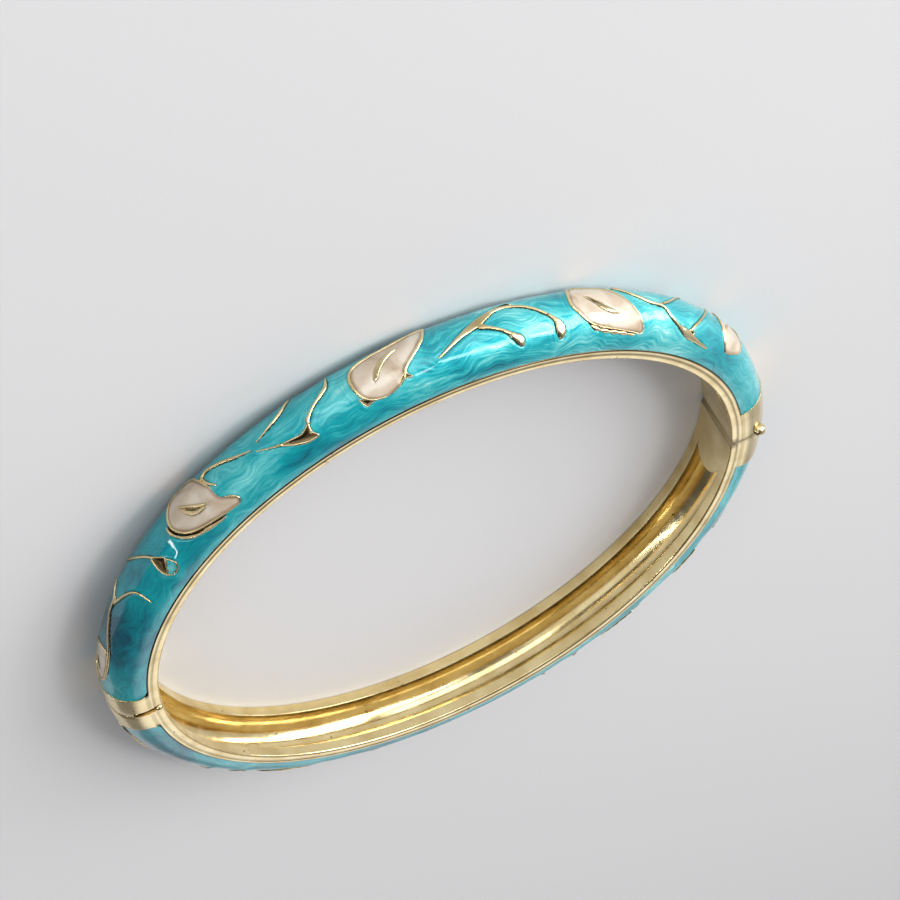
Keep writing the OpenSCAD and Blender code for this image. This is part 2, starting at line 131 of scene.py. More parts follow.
# Petals: the outline, with edges of width 0.8, and the vein inside it, in the same way
PETALS = (
    (((4.9, 4), (6, 15), (7.6, 19.5), (10.8, 22.5), (13.4, 19), (14.1, 9), (13.9, -9), (12.8, -26), (9.6, -36),
      (6.4, -28), (4.9, -12)),
     ((7.4, 2, 0.5), (9, -4, 0.9), (10.7, -9, 0.5))),
    (((44.8, -42), (44.3, -26), (43.8, -10), (43.6, 5.5), (44.1, 20.5), (45.1, 33), (46.7, 42.5), (48.8, 49.5, 0.9),
      (51.4, 55.3, 0.8), (53.4, 58.5, 0.7), (54.7, 59.2, 0.5), (55.2, 51, 0.6), (54.8, 43.5, 0.9), (54.1, 38, 0.6),
      (53.4, 33.7, 0.25), (52.9, 25.5, 0.25), (52.8, 15.5, 0.25), (52.7, 6, 0.4), (52.2, -5, 0.9), (51.3, -22),
      (49.9, -40), (47.3, -54), (45.6, -52)),
     ((46.4, -8, 0.5), (47.6, 1, 0.9), (49.1, 12.5, 0.9), (50, 18.5, 0.8), (51, 25, 0.4))),
    (((79.8, 42, 0.8), (79, 34), (78.5, 22, 1.1), (78.3, 8, 1.2), (78.4, -6, 1.2), (79, -19, 1.1), (80, -28),
      (82, -33.5), (84.6, -36.5), (87.3, -40.5), (89.8, -46), (91.4, -44), (91.1, -33, 1.1), (90.5, -18.5, 1.1),
      (89.3, -5, 1.2), (87.9, 7, 1.2), (86.8, 16, 1.1), (86.1, 23.5), (85.7, 32, 0.7), (84.9, 40, 0.4),
      (83.7, 46, 0.3), (82.4, 49, 0.4), (81.1, 47.5, 0.6)),
     ((81.6, 17, 0.6), (81.9, 12, 1.4, 0.6), (82.3, 5.3, 1.6, 0.4), (83.1, -3, 1.5, 0.2), (84.2, -10.6, 1.2),
      (85.4, -16.8, 0.9), (86.4, -20, 0.4))),
    (((115.8, -41), (114.4, -13, 1.2), (114.1, 4, 1.3), (114.7, 17, 1.3), (115.7, 31.5, 1.1), (116.9, 41, 0.8),
      (118.5, 47, 0.55), (120.1, 50.5, 0.5), (122.6, 55.2, 0.5), (125.2, 59.7, 0.5), (126.7, 62, 0.5),
      (127.1, 52, 0.5), (126.7, 38.5, 0.45), (126, 23.5, 0.45), (125.1, 9, 0.5), (124.1, -6.5, 0.6),
      (123.1, -21, 0.7), (122, -32, 0.7), (119.6, -46, 0.8), (117.6, -50)),
     ((117, -13, 0.5), (118.2, -1, 1.4, 0.9), (119.2, 10, 1.7, 0.5), (120.5, 19, 1.6, 0.3), (122.2, 26, 0.5))),
    (((148.4, 2), (148.3, 14.5), (148.5, 29), (149, 42), (149.8, 53, 0.9), (151, 54.5, 0.5), (152.8, 50, 0.45),
      (154.8, 41, 0.45), (155.5, 30, 0.5), (155.6, 12, 0.6), (155.6, -10), (154.6, -30), (152.4, -38), (150, -30),
      (148.8, -14)),
     ((149.9, 14, 0.5), (151, 2, 0.8), (152.4, -8, 0.5))),
)

# Hollows between lines that meet, whose bare metal is painted dark as shade: outlines in the same way, with edges of
# width 0.5
HOLLOWS = (
    ((24.5, -5), (25, 0), (25.6, -8), (25.5, -15)),
    ((37.3, 15.5), (38.4, 24), (39.1, 33), (38.3, 42), (36.9, 53.5), (36.7, 42), (36.9, 31)),
    ((46.9, 1), (47.7, 4), (48.7, 10.5), (49.5, 17), (50.3, 22.5), (49.1, 21.5), (48.2, 17), (47.4, 8)),
    ((65.3, 27), (67.1, 29.6), (68.5, 31.6), (69.7, 26.4), (70.3, 21.4), (70.1, 29.4), (70.1, 38.3), (70.6, 48),
     (69.4, 48.6, 1.3), (68.5, 46.5, 1.6), (67.2, 40.5, 1.5), (66.1, 33.8)),
    ((78.3, 33, 0.5), (79.1, 38.8, 0.5), (79.7, 42.8, 0.5), (80.8, 46.4, 0.5), (79.6, 47.2, 0.5), (78.9, 49.6, 0.6),
     (78.5, 42, 0.6)),
    ((86.1, 25, 0.5), (86.2, 30.7, 0.5), (86.7, 37.2, 0.6), (85.7, 36.4, 0.6), (84.7, 37, 0.5)),
    ((138.2, 44), (139, 44.5), (139.4, 48.5), (138.9, 52), (138.3, 50.5), (138.1, 47)),
)

# How pale the enamel is along the ring, and how silky: (ring angle, shade, silk)
ALONG = (
    (0, -0.02, 0.5), (14, -0.18, 0.45), (24, -0.22, 0.45), (36, -0.14, 0.5), (52, -0.02, 0.6), (70, 0, 0.8),
    (84, 0, 1.1), (96, 0.03, 1.4), (118, 0.06, 1.3), (134, 0.06, 0.95), (152, 0.08, 0.6), (171, 0.05, 0.45),
)
# Paler and darker spots: (ring angle, dome angle, reach in mm, shade)
SPOTS = (
    (13, -14, 4, -0.12), (20, 22, 4, -0.22), (6, 36, 4, 0.14), (30, 66, 6, 0.16), (33, 8, 3, -0.12),
    (38, 51, 1.4, 0.3), (44, 74, 6, 0.06), (58, 34, 4, 0.2), (64, 4, 4, 0.05), (74, 14, 5, 0.22), (70, 78, 6, -0.16),
    (80, 70, 5, -0.12), (86, 60, 3, 0.12), (97, 40, 5, 0.1), (104, 12, 4, 0.12), (113, 20, 3, -0.1),
    (96, 72, 5, -0.16), (114, 48, 5, 0.1), (122, 78, 5, -0.06), (131, 26, 4, 0.2), (135, 14, 3, -0.1),
    (138, 68, 4, 0.1), (152, 72, 6, -0.12), (160, 40, 5, -0.02), (163, 8, 4, 0.14),
)

# Softboxes: name, bearing from +Y towards +X and lift in degrees, distance, width and height in m, and radiance
LIGHTS = (
    ("window_pane_1", -129, 32, 0.7, 0.2, 0.55, 7.5),
    ("window_pane_2", -111, 22, 0.7, 0.2, 0.4, 7.5),
    ("window_pane_3", -90, 8, 0.7, 0.14, 0.25, 7.5),
    ("overhead_softbox", -146, 44, 0.7, 0.42, 0.1, 8.5),
    ("strip_light", 92, 24, 0.6, 0.018, 0.45, 16),
    ("front_panel", 180, 18, 1.0, 1.2, 0.45, 1.8),
    ("side_panel", 128, 36, 1.0, 0.9, 0.6, 0.75),
)
# The camera's place and the point it looks at, in mm, its roll, its lens in mm, and how near and far it sees in m
CAMERA_AT = (54.25, -257.97, 136.34)
CAMERA_AIM = (-1.848, -15.927, 3.1)
CAMERA_ROLL = 2.623
CAMERA_LENS = 124.2
CAMERA_CLIP = (0.01, 10)


def linear(code):
    """A hex sRGB colour as linear red, green, blue and alpha."""
    parts = [int(code[i:i + 2], 16) / 255 for i in (1, 3, 5)]
    return [c / 12.92 if c <= 0.04045 else ((c + 0.055) / 1.055) ** 2.4 for c in parts] + [1.0]


def length(title, words, value):
    return FloatProperty(name=title, description=words, default=value * MM, min=0, unit="LENGTH", precision=5)


def colour(title, words, code):
    return FloatVectorProperty(
        name=title, description=words, default=linear(code), size=4, subtype="COLOR", min=0, max=1)


class BangleSizes(bpy.types.PropertyGroup):
    ring: length("Ring radius", "From the ring's axis to the middle of the dome", 31.55)
    dome: length("Dome radius", "Radius of the band's domed outside", 3.1)
    inside: length("Inside radius", "Radius of the face next to the wrist", 30.0)
    rim: length("Rim depth", "Depth of the bare metal beside the enamel", 1.2)
    recess: length("Recess depth", "Depth of the floor under the enamel", 0.55)
    sink: length("Enamel depth", "How far the enamel lies below the top of the metal", 0.1)
    line_half: length("Line half width", "Half the width of a plain raised line", 0.17)
    line_rise: length("Line height", "How far a plain raised line stands above the enamel", 0.16)
    channel: length("Channel radius", "Radius of the hollow along the back of the band", 2.1)
    channel_in: length("Channel centre", "From the inner face to the channel's centre", 0.9)
    grid: length("Enamel grid", "Spacing of the points on the enamel", 0.17)
    floor: length("Floor", "Half the side of the floor", 1200)


class BangleColours(bpy.types.PropertyGroup):
    gold: colour("Gold plating", "Pale gold of the bands and lines", "#eedcae")
    # painted light: a brighter, yellower copy of the gold for the inside faces, standing in for the light they reflect
    # onto each other
    inside_lit_gold: colour("Gold on the inside", "Yellower, less polished gold next to the wrist", "#f4e2ae")
    # painted shade: this brown stands in for shade at the foot of the lines, in hollows, grooves and joints; the cast
    # pits use it as well
    shade_and_pit_brown: colour("Gold in the corners", "Brown at the foot of the lines and in hollow places", "#33230c")
    depth: colour("Deepest enamel", "Darkest teal", "#0a5469")
    deep: colour("Deep enamel", "Teal of the shaded end", "#007f8e")
    turquoise: colour("Turquoise enamel", "Main turquoise", "#10a2ab")
    aqua: colour("Aqua enamel", "Paler aqua of the swirls", "#5cc4c6")
    pearl: colour("Pearl", "Palest threads of the pigment", "#bdeae6")
    petal_shade: colour("Shaded cream", "Sandy clouds in the petals", "#a9937a")
    petal: colour("Cream enamel", "Main cream of the petals", "#bfaf9a")
    petal_pale: colour("Pale cream", "Palest cream of the petals", "#d3c8b8")
    board: colour("Floor", "Plain pale floor", "#d8d7d8")


def sizes():
    return bpy.context.scene.bangle_sizes


def colours():
    return bpy.context.scene.bangle_colours


def linked(name, data):
    obj = bpy.data.objects.new(name, data)
    bpy.context.scene.collection.objects.link(obj)
    return obj


def shade(obj, smooth_angle):
    obj.data.shade_smooth()
    obj.data.set_sharp_from_angle(angle=math.radians(smooth_angle))
    return obj


def from_bmesh(name, shape):
    mesh = bpy.data.meshes.new(name)
    shape.to_mesh(mesh)
    shape.free()
    return linked(name, mesh)


def outward(obj):
    """Turns every face of a closed piece outwards."""
    shape = bmesh.new()
    shape.from_mesh(obj.data)
    bmesh.ops.recalc_face_normals(shape, faces=shape.faces)
    shape.to_mesh(obj.data)
    shape.free()
    return obj


def wires(name, points, edges, attributes):
    """A mesh of edges alone, with a number stored at each point for each attribute."""
    mesh = bpy.data.meshes.new(name)
    mesh.from_pydata(points, edges, [])
    obj = linked(name, mesh)
    for key, values in attributes.items():
        store(obj, key, values)
    return obj


def solid_from(name, points, faces, smooth_angle):
    """A closed piece from points in metres and faces, shaded smooth up to an angle in degrees."""
    mesh = bpy.data.meshes.new(name)
    mesh.from_pydata([tuple(p) for p in points], [], [tuple(f) for f in faces])
    return shade(outward(linked(name, mesh)), smooth_angle)


def baked(obj):
    """The object with its modifiers applied, as a new object that takes its name."""
    name = obj.name
    graph = bpy.context.evaluated_depsgraph_get()
    mesh = bpy.data.meshes.new_from_object(obj.evaluated_get(graph))
    bpy.data.objects.remove(obj)
    mesh.name = name
    return linked(name, mesh)


def combine(obj, tool, operation):
    """obj cut by, or joined with, a tool object, which is used up."""
    modifier = obj.modifiers.new("combine", "BOOLEAN")
    modifier.operation = operation
    modifier.solver = "MANIFOLD"
    modifier.object = tool
    new = baked(obj)
    bpy.data.objects.remove(tool)
    return new


def rod(centre, radius, low, high, sides=96):
    """A closed cylinder that stands along Z between two heights over its centre."""
    shape = bmesh.new()
    bmesh.ops.create_cone(shape, cap_ends=True, segments=sides, radius1=radius, radius2=radius, depth=high - low)
    bmesh.ops.translate(shape, vec=Vector(centre) + Vector((0, 0, (low + high) / 2)), verts=shape.verts)
    return from_bmesh("rod", shape)


def ball(centre, radius):
    shape = bmesh.new()
    bmesh.ops.create_uvsphere(shape, u_segments=48, v_segments=24, radius=radius)
    bmesh.ops.translate(shape, vec=centre, verts=shape.verts)
    return from_bmesh("ball", shape)


def prism(outline, low, high, round_by=0.0):
    """A closed prism over an outline in the XY plane, with its edges rounded if asked."""
    shape = bmesh.new()
    face = shape.faces.new([shape.verts.new((x, y, low)) for x, y in outline])
    top = bmesh.ops.extrude_face_region(shape, geom=[face])["geom"]
    raised = [v for v in top if isinstance(v, bmesh.types.BMVert)]
    bmesh.ops.translate(shape, vec=(0, 0, high - low), verts=raised)
    bmesh.ops.recalc_face_normals(shape, faces=shape.faces)
    if round_by > 0:
        sharp = [e for e in shape.edges if e.calc_face_angle(0) > math.radians(30)]
        bmesh.ops.bevel(shape, geom=sharp, offset=round_by, segments=3, profile=0.5, affect="EDGES")
    return from_bmesh("prism", shape)


def store(obj, name, values):
    layer = obj.data.attributes.new(name, "FLOAT", "POINT")
    layer.data.foreach_set("value", np.ascontiguousarray(values, dtype=np.float32))


def surface_uv(obj, u, v):
    """A UV map named surface, in millimetres over the dome."""
    layer = obj.data.uv_layers.new(name="surface")
    index = np.empty(len(obj.data.loops), dtype=np.int32)
    obj.data.loops.foreach_get("vertex_index", index)
    layer.data.foreach_set("uv", np.stack([u[index], v[index]], axis=1).astype(np.float32).ravel())


def add(tree, kind, *values, stops=(), **settings):
    """Adds a node with its settings. The kind leaves out ShaderNode, which most kinds start with.

    Values go to the inputs in turn, or by name in a dict. A node as a value gives the first output that it has in use.
    """
    node = tree.nodes.new(kind if "Node" in kind else "ShaderNode" + kind)
    for key, value in settings.items():
        setattr(node, key, value)
    links = {}
    for number, value in enumerate(values):
        links.update(value if isinstance(value, dict) else {number: value})
    for key, value in links.items():
        if isinstance(value, bpy.types.Node):
            value = next(socket for socket in value.outputs if socket.enabled)
        if isinstance(value, bpy.types.NodeSocket):
            tree.links.new(value, node.inputs[key])
        else:
            node.inputs[key].default_value = value
    for number, (place, rgba) in enumerate(stops):
        band = node.color_ramp.elements
        stop = band[number] if number < 1 else band.new(place) if number + 1 < len(stops) else band[-1]
        stop.position = place
        stop.color = rgba
    return node


def give(obj, tree, values):
    """The object baked with a geometry node tree, whose inputs are set by the names in values."""
    modifier = obj.modifiers.new(tree.name, "NODES")
    modifier.node_group = tree
    for item in tree.interface.items_tree:
        if item.in_out == "INPUT" and item.name in values:
            modifier[item.identifier] = values[item.name]
    return outward(baked(obj))


def node_group(name, inputs):
    """A new geometry node tree with named inputs, and a geometry input and output."""
    tree = bpy.data.node_groups.new(name, "GeometryNodeTree")
    tree.interface.new_socket("Geometry", in_out="INPUT", socket_type="NodeSocketGeometry")
    for title, kind in inputs.items():
        tree.interface.new_socket(title, in_out="INPUT", socket_type="NodeSocket" + kind)
    tree.interface.new_socket("Geometry", in_out="OUTPUT", socket_type="NodeSocketGeometry")
    return tree


def settled(tree, shape, turn, reach, level, material):
    """Ends a tree: moves points to a turn round the ring, a reach from its axis and a level, and sets the material."""
    x = add(tree, "Math", reach, add(tree, "Math", turn, operation="COSINE"), operation="MULTIPLY")
    y = add(tree, "Math", reach, add(tree, "Math", turn, operation="SINE"), operation="MULTIPLY")
    place = add(tree, "CombineXYZ", x, y, level)
    shape = add(tree, "GeometryNodeSetPosition", shape, {"Position": place})
    shape = add(tree, "GeometryNodeRealizeInstances", shape)
    shape = add(tree, "GeometryNodeSetMaterial", shape, {"Material": material})
    add(tree, "NodeGroupOutput", shape)
    return tree


def start_of(half):
    return TURNS[half] * CLASP_ANGLE


def ring_angle(half, a):
    """The rear half's ornament is drawn up a little towards the hinge, as its enamel is shorter."""
    room = ENAMEL_LAST - start_of(half) - ENAMEL_FROM_CLASP
    full = ENAMEL_LAST - start_of("front") - ENAMEL_FROM_CLASP
    return ENAMEL_LAST - (ENAMEL_LAST - a) * room / full


def flat(a, p):
    """A ring angle and a dome angle as millimetres over the dome, laid out flat."""
    s = sizes()
    return np.radians(a) * (s.ring + s.dome) / MM, np.radians(p) * s.dome / MM


def on_dome(half, a, p, height):
    """Points in metres at ring angles and dome angles in degrees, at a height over the dome's centre circle."""
    s = sizes()
    turn = np.radians(a) * TURNS[half]
    reach = s.ring + height * np.cos(np.radians(p))
    return np.stack([reach * np.cos(turn), reach * np.sin(turn), s.dome + height * np.sin(np.radians(p))], axis=-1)


def smooth_path(points, closed):
    """A smooth curve through rows of numbers, as rows 0.1 mm apart. The first two numbers are the place."""
    pts = [np.array(p, float) for p in points]
    n = len(pts)
    out = []
    for i in range(n if closed else n - 1):
        a, b, c, d = (pts[(i + k) % n] if closed else pts[min(max(i + k, 0), n - 1)] for k in (-1, 0, 1, 2))
        steps = max(2, int(math.ceil(np.hypot(*(c - b)[:2]) / 0.1)))
        for k in range(steps):
            t = k / steps
            row = 0.5 * (2 * b + (c - a) * t + (2 * a - 5 * b + 4 * c - d) * t * t + (3 * b - a - 3 * c + d) * t ** 3)
            row[2:] = b[2:] + (c[2:] - b[2:]) * (3 * t * t - 2 * t ** 3)
            out.append(row)
    if not closed:
        out.append(pts[-1])
    return np.array(out)


def rounded_ends(path):
    """The path with its width drawn in to a round tip at both ends."""
    def tip(end, inward):
        d = (end - inward)[:2]
        d = d / max(np.hypot(*d), 1e-9)
        rows = []
        for t in (0.35, 0.6, 0.8, 0.93, 0.99):
            row = end.copy()
            row[:2] += d * end[2] * t
            row[2] *= math.sqrt(1 - t * t)
            rows.append(row)
        return rows
    return np.array(tip(path[0], path[1])[::-1] + list(path) + tip(path[-1], path[-2]))


def flat_path(half, points, closed=False, plain=1.0):
    """A line's points as a smooth flat path with rows (x, y, half width, hollow), in millimetres."""
    rows = []
    for a, p, *rest in points:
        width = plain * rest[0] if rest else plain
        hollow = rest[1] if len(rest) > 1 else 0.0
        rows.append((*flat(ring_angle(half, a), p), sizes().line_half / MM * width, hollow))
    path = smooth_path(rows, closed)
    return path if closed else rounded_ends(path)


def ornament(half):
    """The half's open lines with its veins, its petal outlines and the outlines of its hollows, as flat paths."""
    lines = [flat_path(half, line) for line in LINES + tuple(vein for outline, vein in PETALS)]
    outlines = [flat_path(half, outline, True, PETAL_EDGE) for outline, vein in PETALS]
    hollows = [flat_path(half, outline, True, HOLLOW_EDGE) for outline in HOLLOWS]
    return lines, outlines, hollows


def distance_to(x, y, path, closed=False, width=1.0):
    """Distance in millimetres from flat points to the edge of a line, or to its middle where width is 0."""
    best = np.full(x.shape, 1e9)
    ends = np.roll(path, -1, axis=0)
    for a, b in list(zip(path, ends))[:None if closed else -1]:
        dx, dy = b[0] - a[0], b[1] - a[1]
        size = dx * dx + dy * dy
        near = (np.abs(x - a[0]) < FAR) & (np.abs(y - a[1]) < FAR)
        if size < 1e-12 or not near.any():
            continue
        t = np.clip(((x[near] - a[0]) * dx + (y[near] - a[1]) * dy) / size, 0, 1)
        d = np.hypot(x[near] - a[0] - t * dx, y[near] - a[1] - t * dy) - width * (a[2] + (b[2] - a[2]) * t)
        best[near] = np.minimum(best[near], d)
    return best


def inside_of(x, y, path):
    """Whether flat points lie inside a closed outline."""
    hit = np.zeros(x.shape, bool)
    for a, b in zip(path, np.roll(path, -1, axis=0)):
        if a[1] != b[1]:
            hit ^= ((a[1] > y) != (b[1] > y)) & (x < (b[0] - a[0]) * (y - a[1]) / (b[1] - a[1]) + a[0])
    return hit


def pressed_down(x, y, lines, outlines, most):
    """The distance to the nearest line, and how far enamel gives way to metal at flat points.

    It gives way by most, a share of 1, from 0.1 mm inside a line's edge, and by 1 from 0.12 mm inside an outline.
    """
    gap = np.full(x.shape, 1e9)
    for path in lines:
        gap = np.minimum(gap, distance_to(x, y, path))
    sunk = np.clip(-gap / 0.1, 0, most)
    for path in outlines:
        depth = np.clip(distance_to(x, y, path, closed=True, width=0.0) / 0.12, 0, 1)
        sunk = np.maximum(sunk, np.where(inside_of(x, y, path), depth, 0))
    return gap, sunk


def waviness(x, y):
    """The slight uneven level of enamel that was laid by hand, from -1 to 1."""
    bent = 0.9 * x + 1.3 * y + 2 * np.sin(0.31 * x)
    return (np.sin(bent) + np.sin(1.7 * x - 1.1 * y + 1.5) + np.sin(0.53 * x + 2.1 * y)) / 3


def new_material(name):
    material = bpy.data.materials.new(name)
    material.use_nodes = True
    material.node_tree.nodes.clear()
    return material, material.node_tree


def gold_plating():
    """Pale gold plating on a polished zinc casting: bright, softly uneven, with painted shade brown in its corners, a
    brighter yellower copy painted on the inside, and a few pits.
    """
    name = "pale_gold_plating"
    if name in bpy.data.materials:
        return bpy.data.materials[name]
    material, tree = new_material(name)
    c = colours()
    place = add(tree, "TexCoord").outputs["Object"]
    height = add(tree, "SeparateXYZ", place).outputs["Z"]
    across = add(tree, "VectorMath", place, (1, 1, 0), operation="MULTIPLY")
    reach = add(tree, "VectorMath", across, operation="LENGTH")
    # casting leaves soft hollows about 1.2 mm across, which make the shine uneven
    soft = add(tree, "TexNoise", place, {"Scale": 1 / (1.2 * MM), "Detail": 2.0})
    rough = add(tree, "MapRange", soft, 0.3, 0.7, 0.12, 0.24)
    # the polishing wheel leaves hair lines round the ring, drawn coarser than the real ones, 0.1 mm apart
    drawn = add(tree, "CombineXYZ", reach, height)
    hair = add(tree, "TexNoise", drawn, {"Scale": 1 / (0.1 * MM), "Detail": 3.0})
    # a few cast pits 0.2 mm across show as brown specks several millimetres apart
    pit = add(tree, "TexNoise", place, {"Scale": 1 / (0.5 * MM), "Detail": 1.0})
    pit = add(tree, "MapRange", pit, 0.73, 0.79, 0.0, 0.7)
    # the plating is a little thinner and browner in places 3 mm across
    worn = add(tree, "TexNoise", place, {"Scale": 1 / (3 * MM), "Detail": 3.0})
    worn = add(tree, "MapRange", worn, 0.35, 0.62)
    # the inside is painted a yellower, brighter copy of the gold, as painted light standing in for what its faces
    # reflect onto each other
    inward = add(tree, "Attribute", attribute_name="inward").outputs["Fac"]
    pale = add(tree, "Mix", {"Factor": inward, "A": c.gold[:], "B": c.inside_lit_gold[:]}, data_type="RGBA")
    brown = add(tree, "Mix", {"Factor": 1.0, "A": pale, "B": (0.82, 0.76, 0.66, 1)}, data_type="RGBA",
                blend_type="MULTIPLY")
    pale = add(tree, "Mix", {"Factor": worn, "A": brown, "B": pale}, data_type="RGBA")
    # painted shade: the shadow attribute browns the foot of the lines, dished crests, dark gap lines, the hollows, the
    # rim's edge line and groove, and the joints; the cast pits are brown too
    dark = add(tree, "Attribute", attribute_name="shadow").outputs["Fac"]
    dark = add(tree, "Math", dark, pit, operation="MAXIMUM")
    base = add(tree, "Mix", {"Factor": dark, "A": pale, "B": c.shade_and_pit_brown[:]}, data_type="RGBA")
    # edges are polished round by 0.05 mm
    edge = add(tree, "Bevel", 0.05 * MM, samples=4)
    bump = add(tree, "Bump", {"Height": soft, "Strength": 0.4, "Distance": 0.03 * MM, "Normal": edge})
    bump = add(tree, "Bump", {"Height": hair, "Strength": 0.3, "Distance": 0.006 * MM, "Normal": bump})
    shader = add(tree, "BsdfPrincipled", {"Base Color": base, "Metallic": 1.0, "Roughness": rough, "Normal": bump})
    add(tree, "OutputMaterial", shader)
    return material


def pearl_enamel():
    """Poured turquoise resin enamel with pearl pigment, which settles in silky threads under a glassy top."""
    material, tree = new_material("pearl_turquoise_resin_enamel")
    c = colours()
    # the UV map is in millimetres over the dome
    place = add(tree, "UVMap", uv_map="surface")
    gap, tone, silk = (add(tree, "Attribute", attribute_name=name).outputs["Fac"]
                       for name in ("line_distance", "tone", "silk"))
    # slow swirls 3.5 mm across bend everything below
    swirl = add(tree, "TexNoise", place, {"Scale": 0.28, "Detail": 1.2, "Roughness": 0.4}).outputs["Color"]
    swirl = add(tree, "VectorMath", swirl, (0.5, 0.5, 0.5), operation="SUBTRACT")
    swirl = add(tree, "VectorMath", swirl, {"Scale": 3.8}, operation="SCALE")
    bent = add(tree, "VectorMath", place, swirl, operation="ADD")
    # clouds of pigment 2 mm wide and 6 mm long
    cloud = add(tree, "VectorMath", bent, (0.35, 1.0, 1.0), operation="MULTIPLY")
    cloud = add(tree, "TexNoise", cloud, {"Scale": 0.5, "Detail": 4.0, "Roughness": 0.5})
    # threads 0.25 mm apart and 4 mm long that run along the band
    fine = {"Scale": 1.0, "Detail": 4.0, "Roughness": 0.6, "Distortion": 0.3}
    along = add(tree, "VectorMath", bent, (0.26, 4.2, 1.0), operation="MULTIPLY")
    along = add(tree, "TexNoise", along, fine)
    # threads 0.3 mm apart, turned round each line and drop within 1.3 mm of it
    rings = add(tree, "VectorMath", bent, (0.35, 0.35, 0.0), operation="MULTIPLY")
    depth = add(tree, "CombineXYZ", {"Z": add(tree, "Math", gap, 3.4, operation="MULTIPLY")})
    rings = add(tree, "TexNoise", add(tree, "VectorMath", rings, depth, operation="ADD"), fine)
    close = add(tree, "MapRange", gap, 0.2, 1.3, 0.6, 0.0, interpolation_type="SMOOTHSTEP")
    thread = add(tree, "Mix", {"Factor": close, "A": along, "B": rings})
    drawn = add(tree, "Math", thread, 0.5, operation="SUBTRACT")
    drawn = add(tree, "Math", drawn, silk, operation="MULTIPLY")
    # pearl flecks 0.15 mm across
    fleck = add(tree, "TexNoise", place, {"Scale": 7.0, "Detail": 2.0})
    fleck = add(tree, "Math", fleck, 0.16, -0.08, operation="MULTIPLY_ADD")
    level = add(tree, "Math", cloud, 0.75, drawn, operation="MULTIPLY_ADD")
    for part in (fleck, tone):
        level = add(tree, "Math", level, part, operation="ADD")
    base = add(tree, "ValToRGB", level, stops=(
        (0.0, c.depth), (0.18, c.deep), (0.4, c.turquoise), (0.62, c.aqua), (0.9, c.pearl)))
    rough = add(tree, "MapRange", thread, 0.3, 0.7, 0.5, 0.34)
    bump = add(tree, "Bump", {"Height": thread, "Strength": 0.3, "Distance": 0.05 * MM})
    shader = add(tree, "BsdfPrincipled", {
        "Base Color": base, "Metallic": 0.25, "Roughness": rough, "Specular IOR Level": 0.1, "Normal": bump,
        "Coat Weight": 1.0, "Coat Roughness": 0.03, "Coat IOR": 1.5,
    })
    add(tree, "OutputMaterial", shader)
    return material


def cream_enamel():
    """Cream resin enamel, softly cloudy, under the same glassy top."""
    material, tree = new_material("cream_resin_enamel")
    c = colours()
    place = add(tree, "UVMap", uv_map="surface")
    gap = add(tree, "Attribute", attribute_name="line_distance").outputs["Fac"]
    # clouds 3 mm across, drawn into soft curls
    cloud = add(tree, "TexNoise", place, {"Scale": 0.33, "Detail": 3.0, "Distortion": 0.8})
    # the enamel is thinner and darker in the last 0.3 mm, where it climbs the metal
    level = add(tree, "MapRange", gap, 0.0, 0.3, -0.3, 0.0, interpolation_type="SMOOTHSTEP")
    level = add(tree, "Math", cloud, level, operation="ADD")
    darkest = [v * 0.6 for v in c.petal_shade[:3]] + [1]
    base = add(tree, "ValToRGB", level, stops=(
        (0.1, darkest), (0.3, c.petal_shade), (0.48, c.petal), (0.68, c.petal_pale)))
    # grains of pigment 0.15 mm across
    grain = add(tree, "TexNoise", place, {"Scale": 6.0})
    rough = add(tree, "MapRange", grain, 0.0, 1.0, 0.3, 0.5)
    shader = add(tree, "BsdfPrincipled", {
        "Base Color": base, "Roughness": rough, "Specular IOR Level": 0.1,
        "Coat Weight": 1.0, "Coat Roughness": 0.04, "Coat IOR": 1.5,
    })
    add(tree, "OutputMaterial", shader)
    return material


def pale_board():
    """A plain pale matt board, with a paper grain that only just shows."""
    material, tree = new_material("pale_matt_board")
    place = add(tree, "TexCoord").outputs["Object"]
    # fibres about 0.4 mm long
    grain = add(tree, "TexNoise", place, {"Scale": 1 / (0.4 * MM), "Detail": 2.0})
    rgb = colours().board[:]
    base = add(tree, "Mix", {"Factor": grain, "A": [v * 0.97 for v in rgb[:3]] + [1], "B": rgb}, data_type="RGBA")
    add(tree, "OutputMaterial", add(tree, "BsdfPrincipled", {"Base Color": base, "Roughness": 0.8}))
    return material


def finished(obj, material, slot, body, *nodes):
    """Gives a finished piece its material and its body, and hides the CAD nodes that it stands for; slot is not used.
    """
    if material:
        obj.data.materials.clear()
        obj.data.materials.append(material)
    if nodes:
        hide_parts(*nodes)
    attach(obj, body)


def corner_lag(p):
    """How many degrees later the enamel starts at a dome angle, which rounds its two corners by 1 mm."""
    s = sizes()
    r = 1.0 * MM
    away = max(math.radians(95 - abs(p)) * s.dome, 0)
    return 0.0 if away >= r else math.degrees((r - math.sqrt(r * r - (r - away) ** 2)) / (s.ring + s.dome))


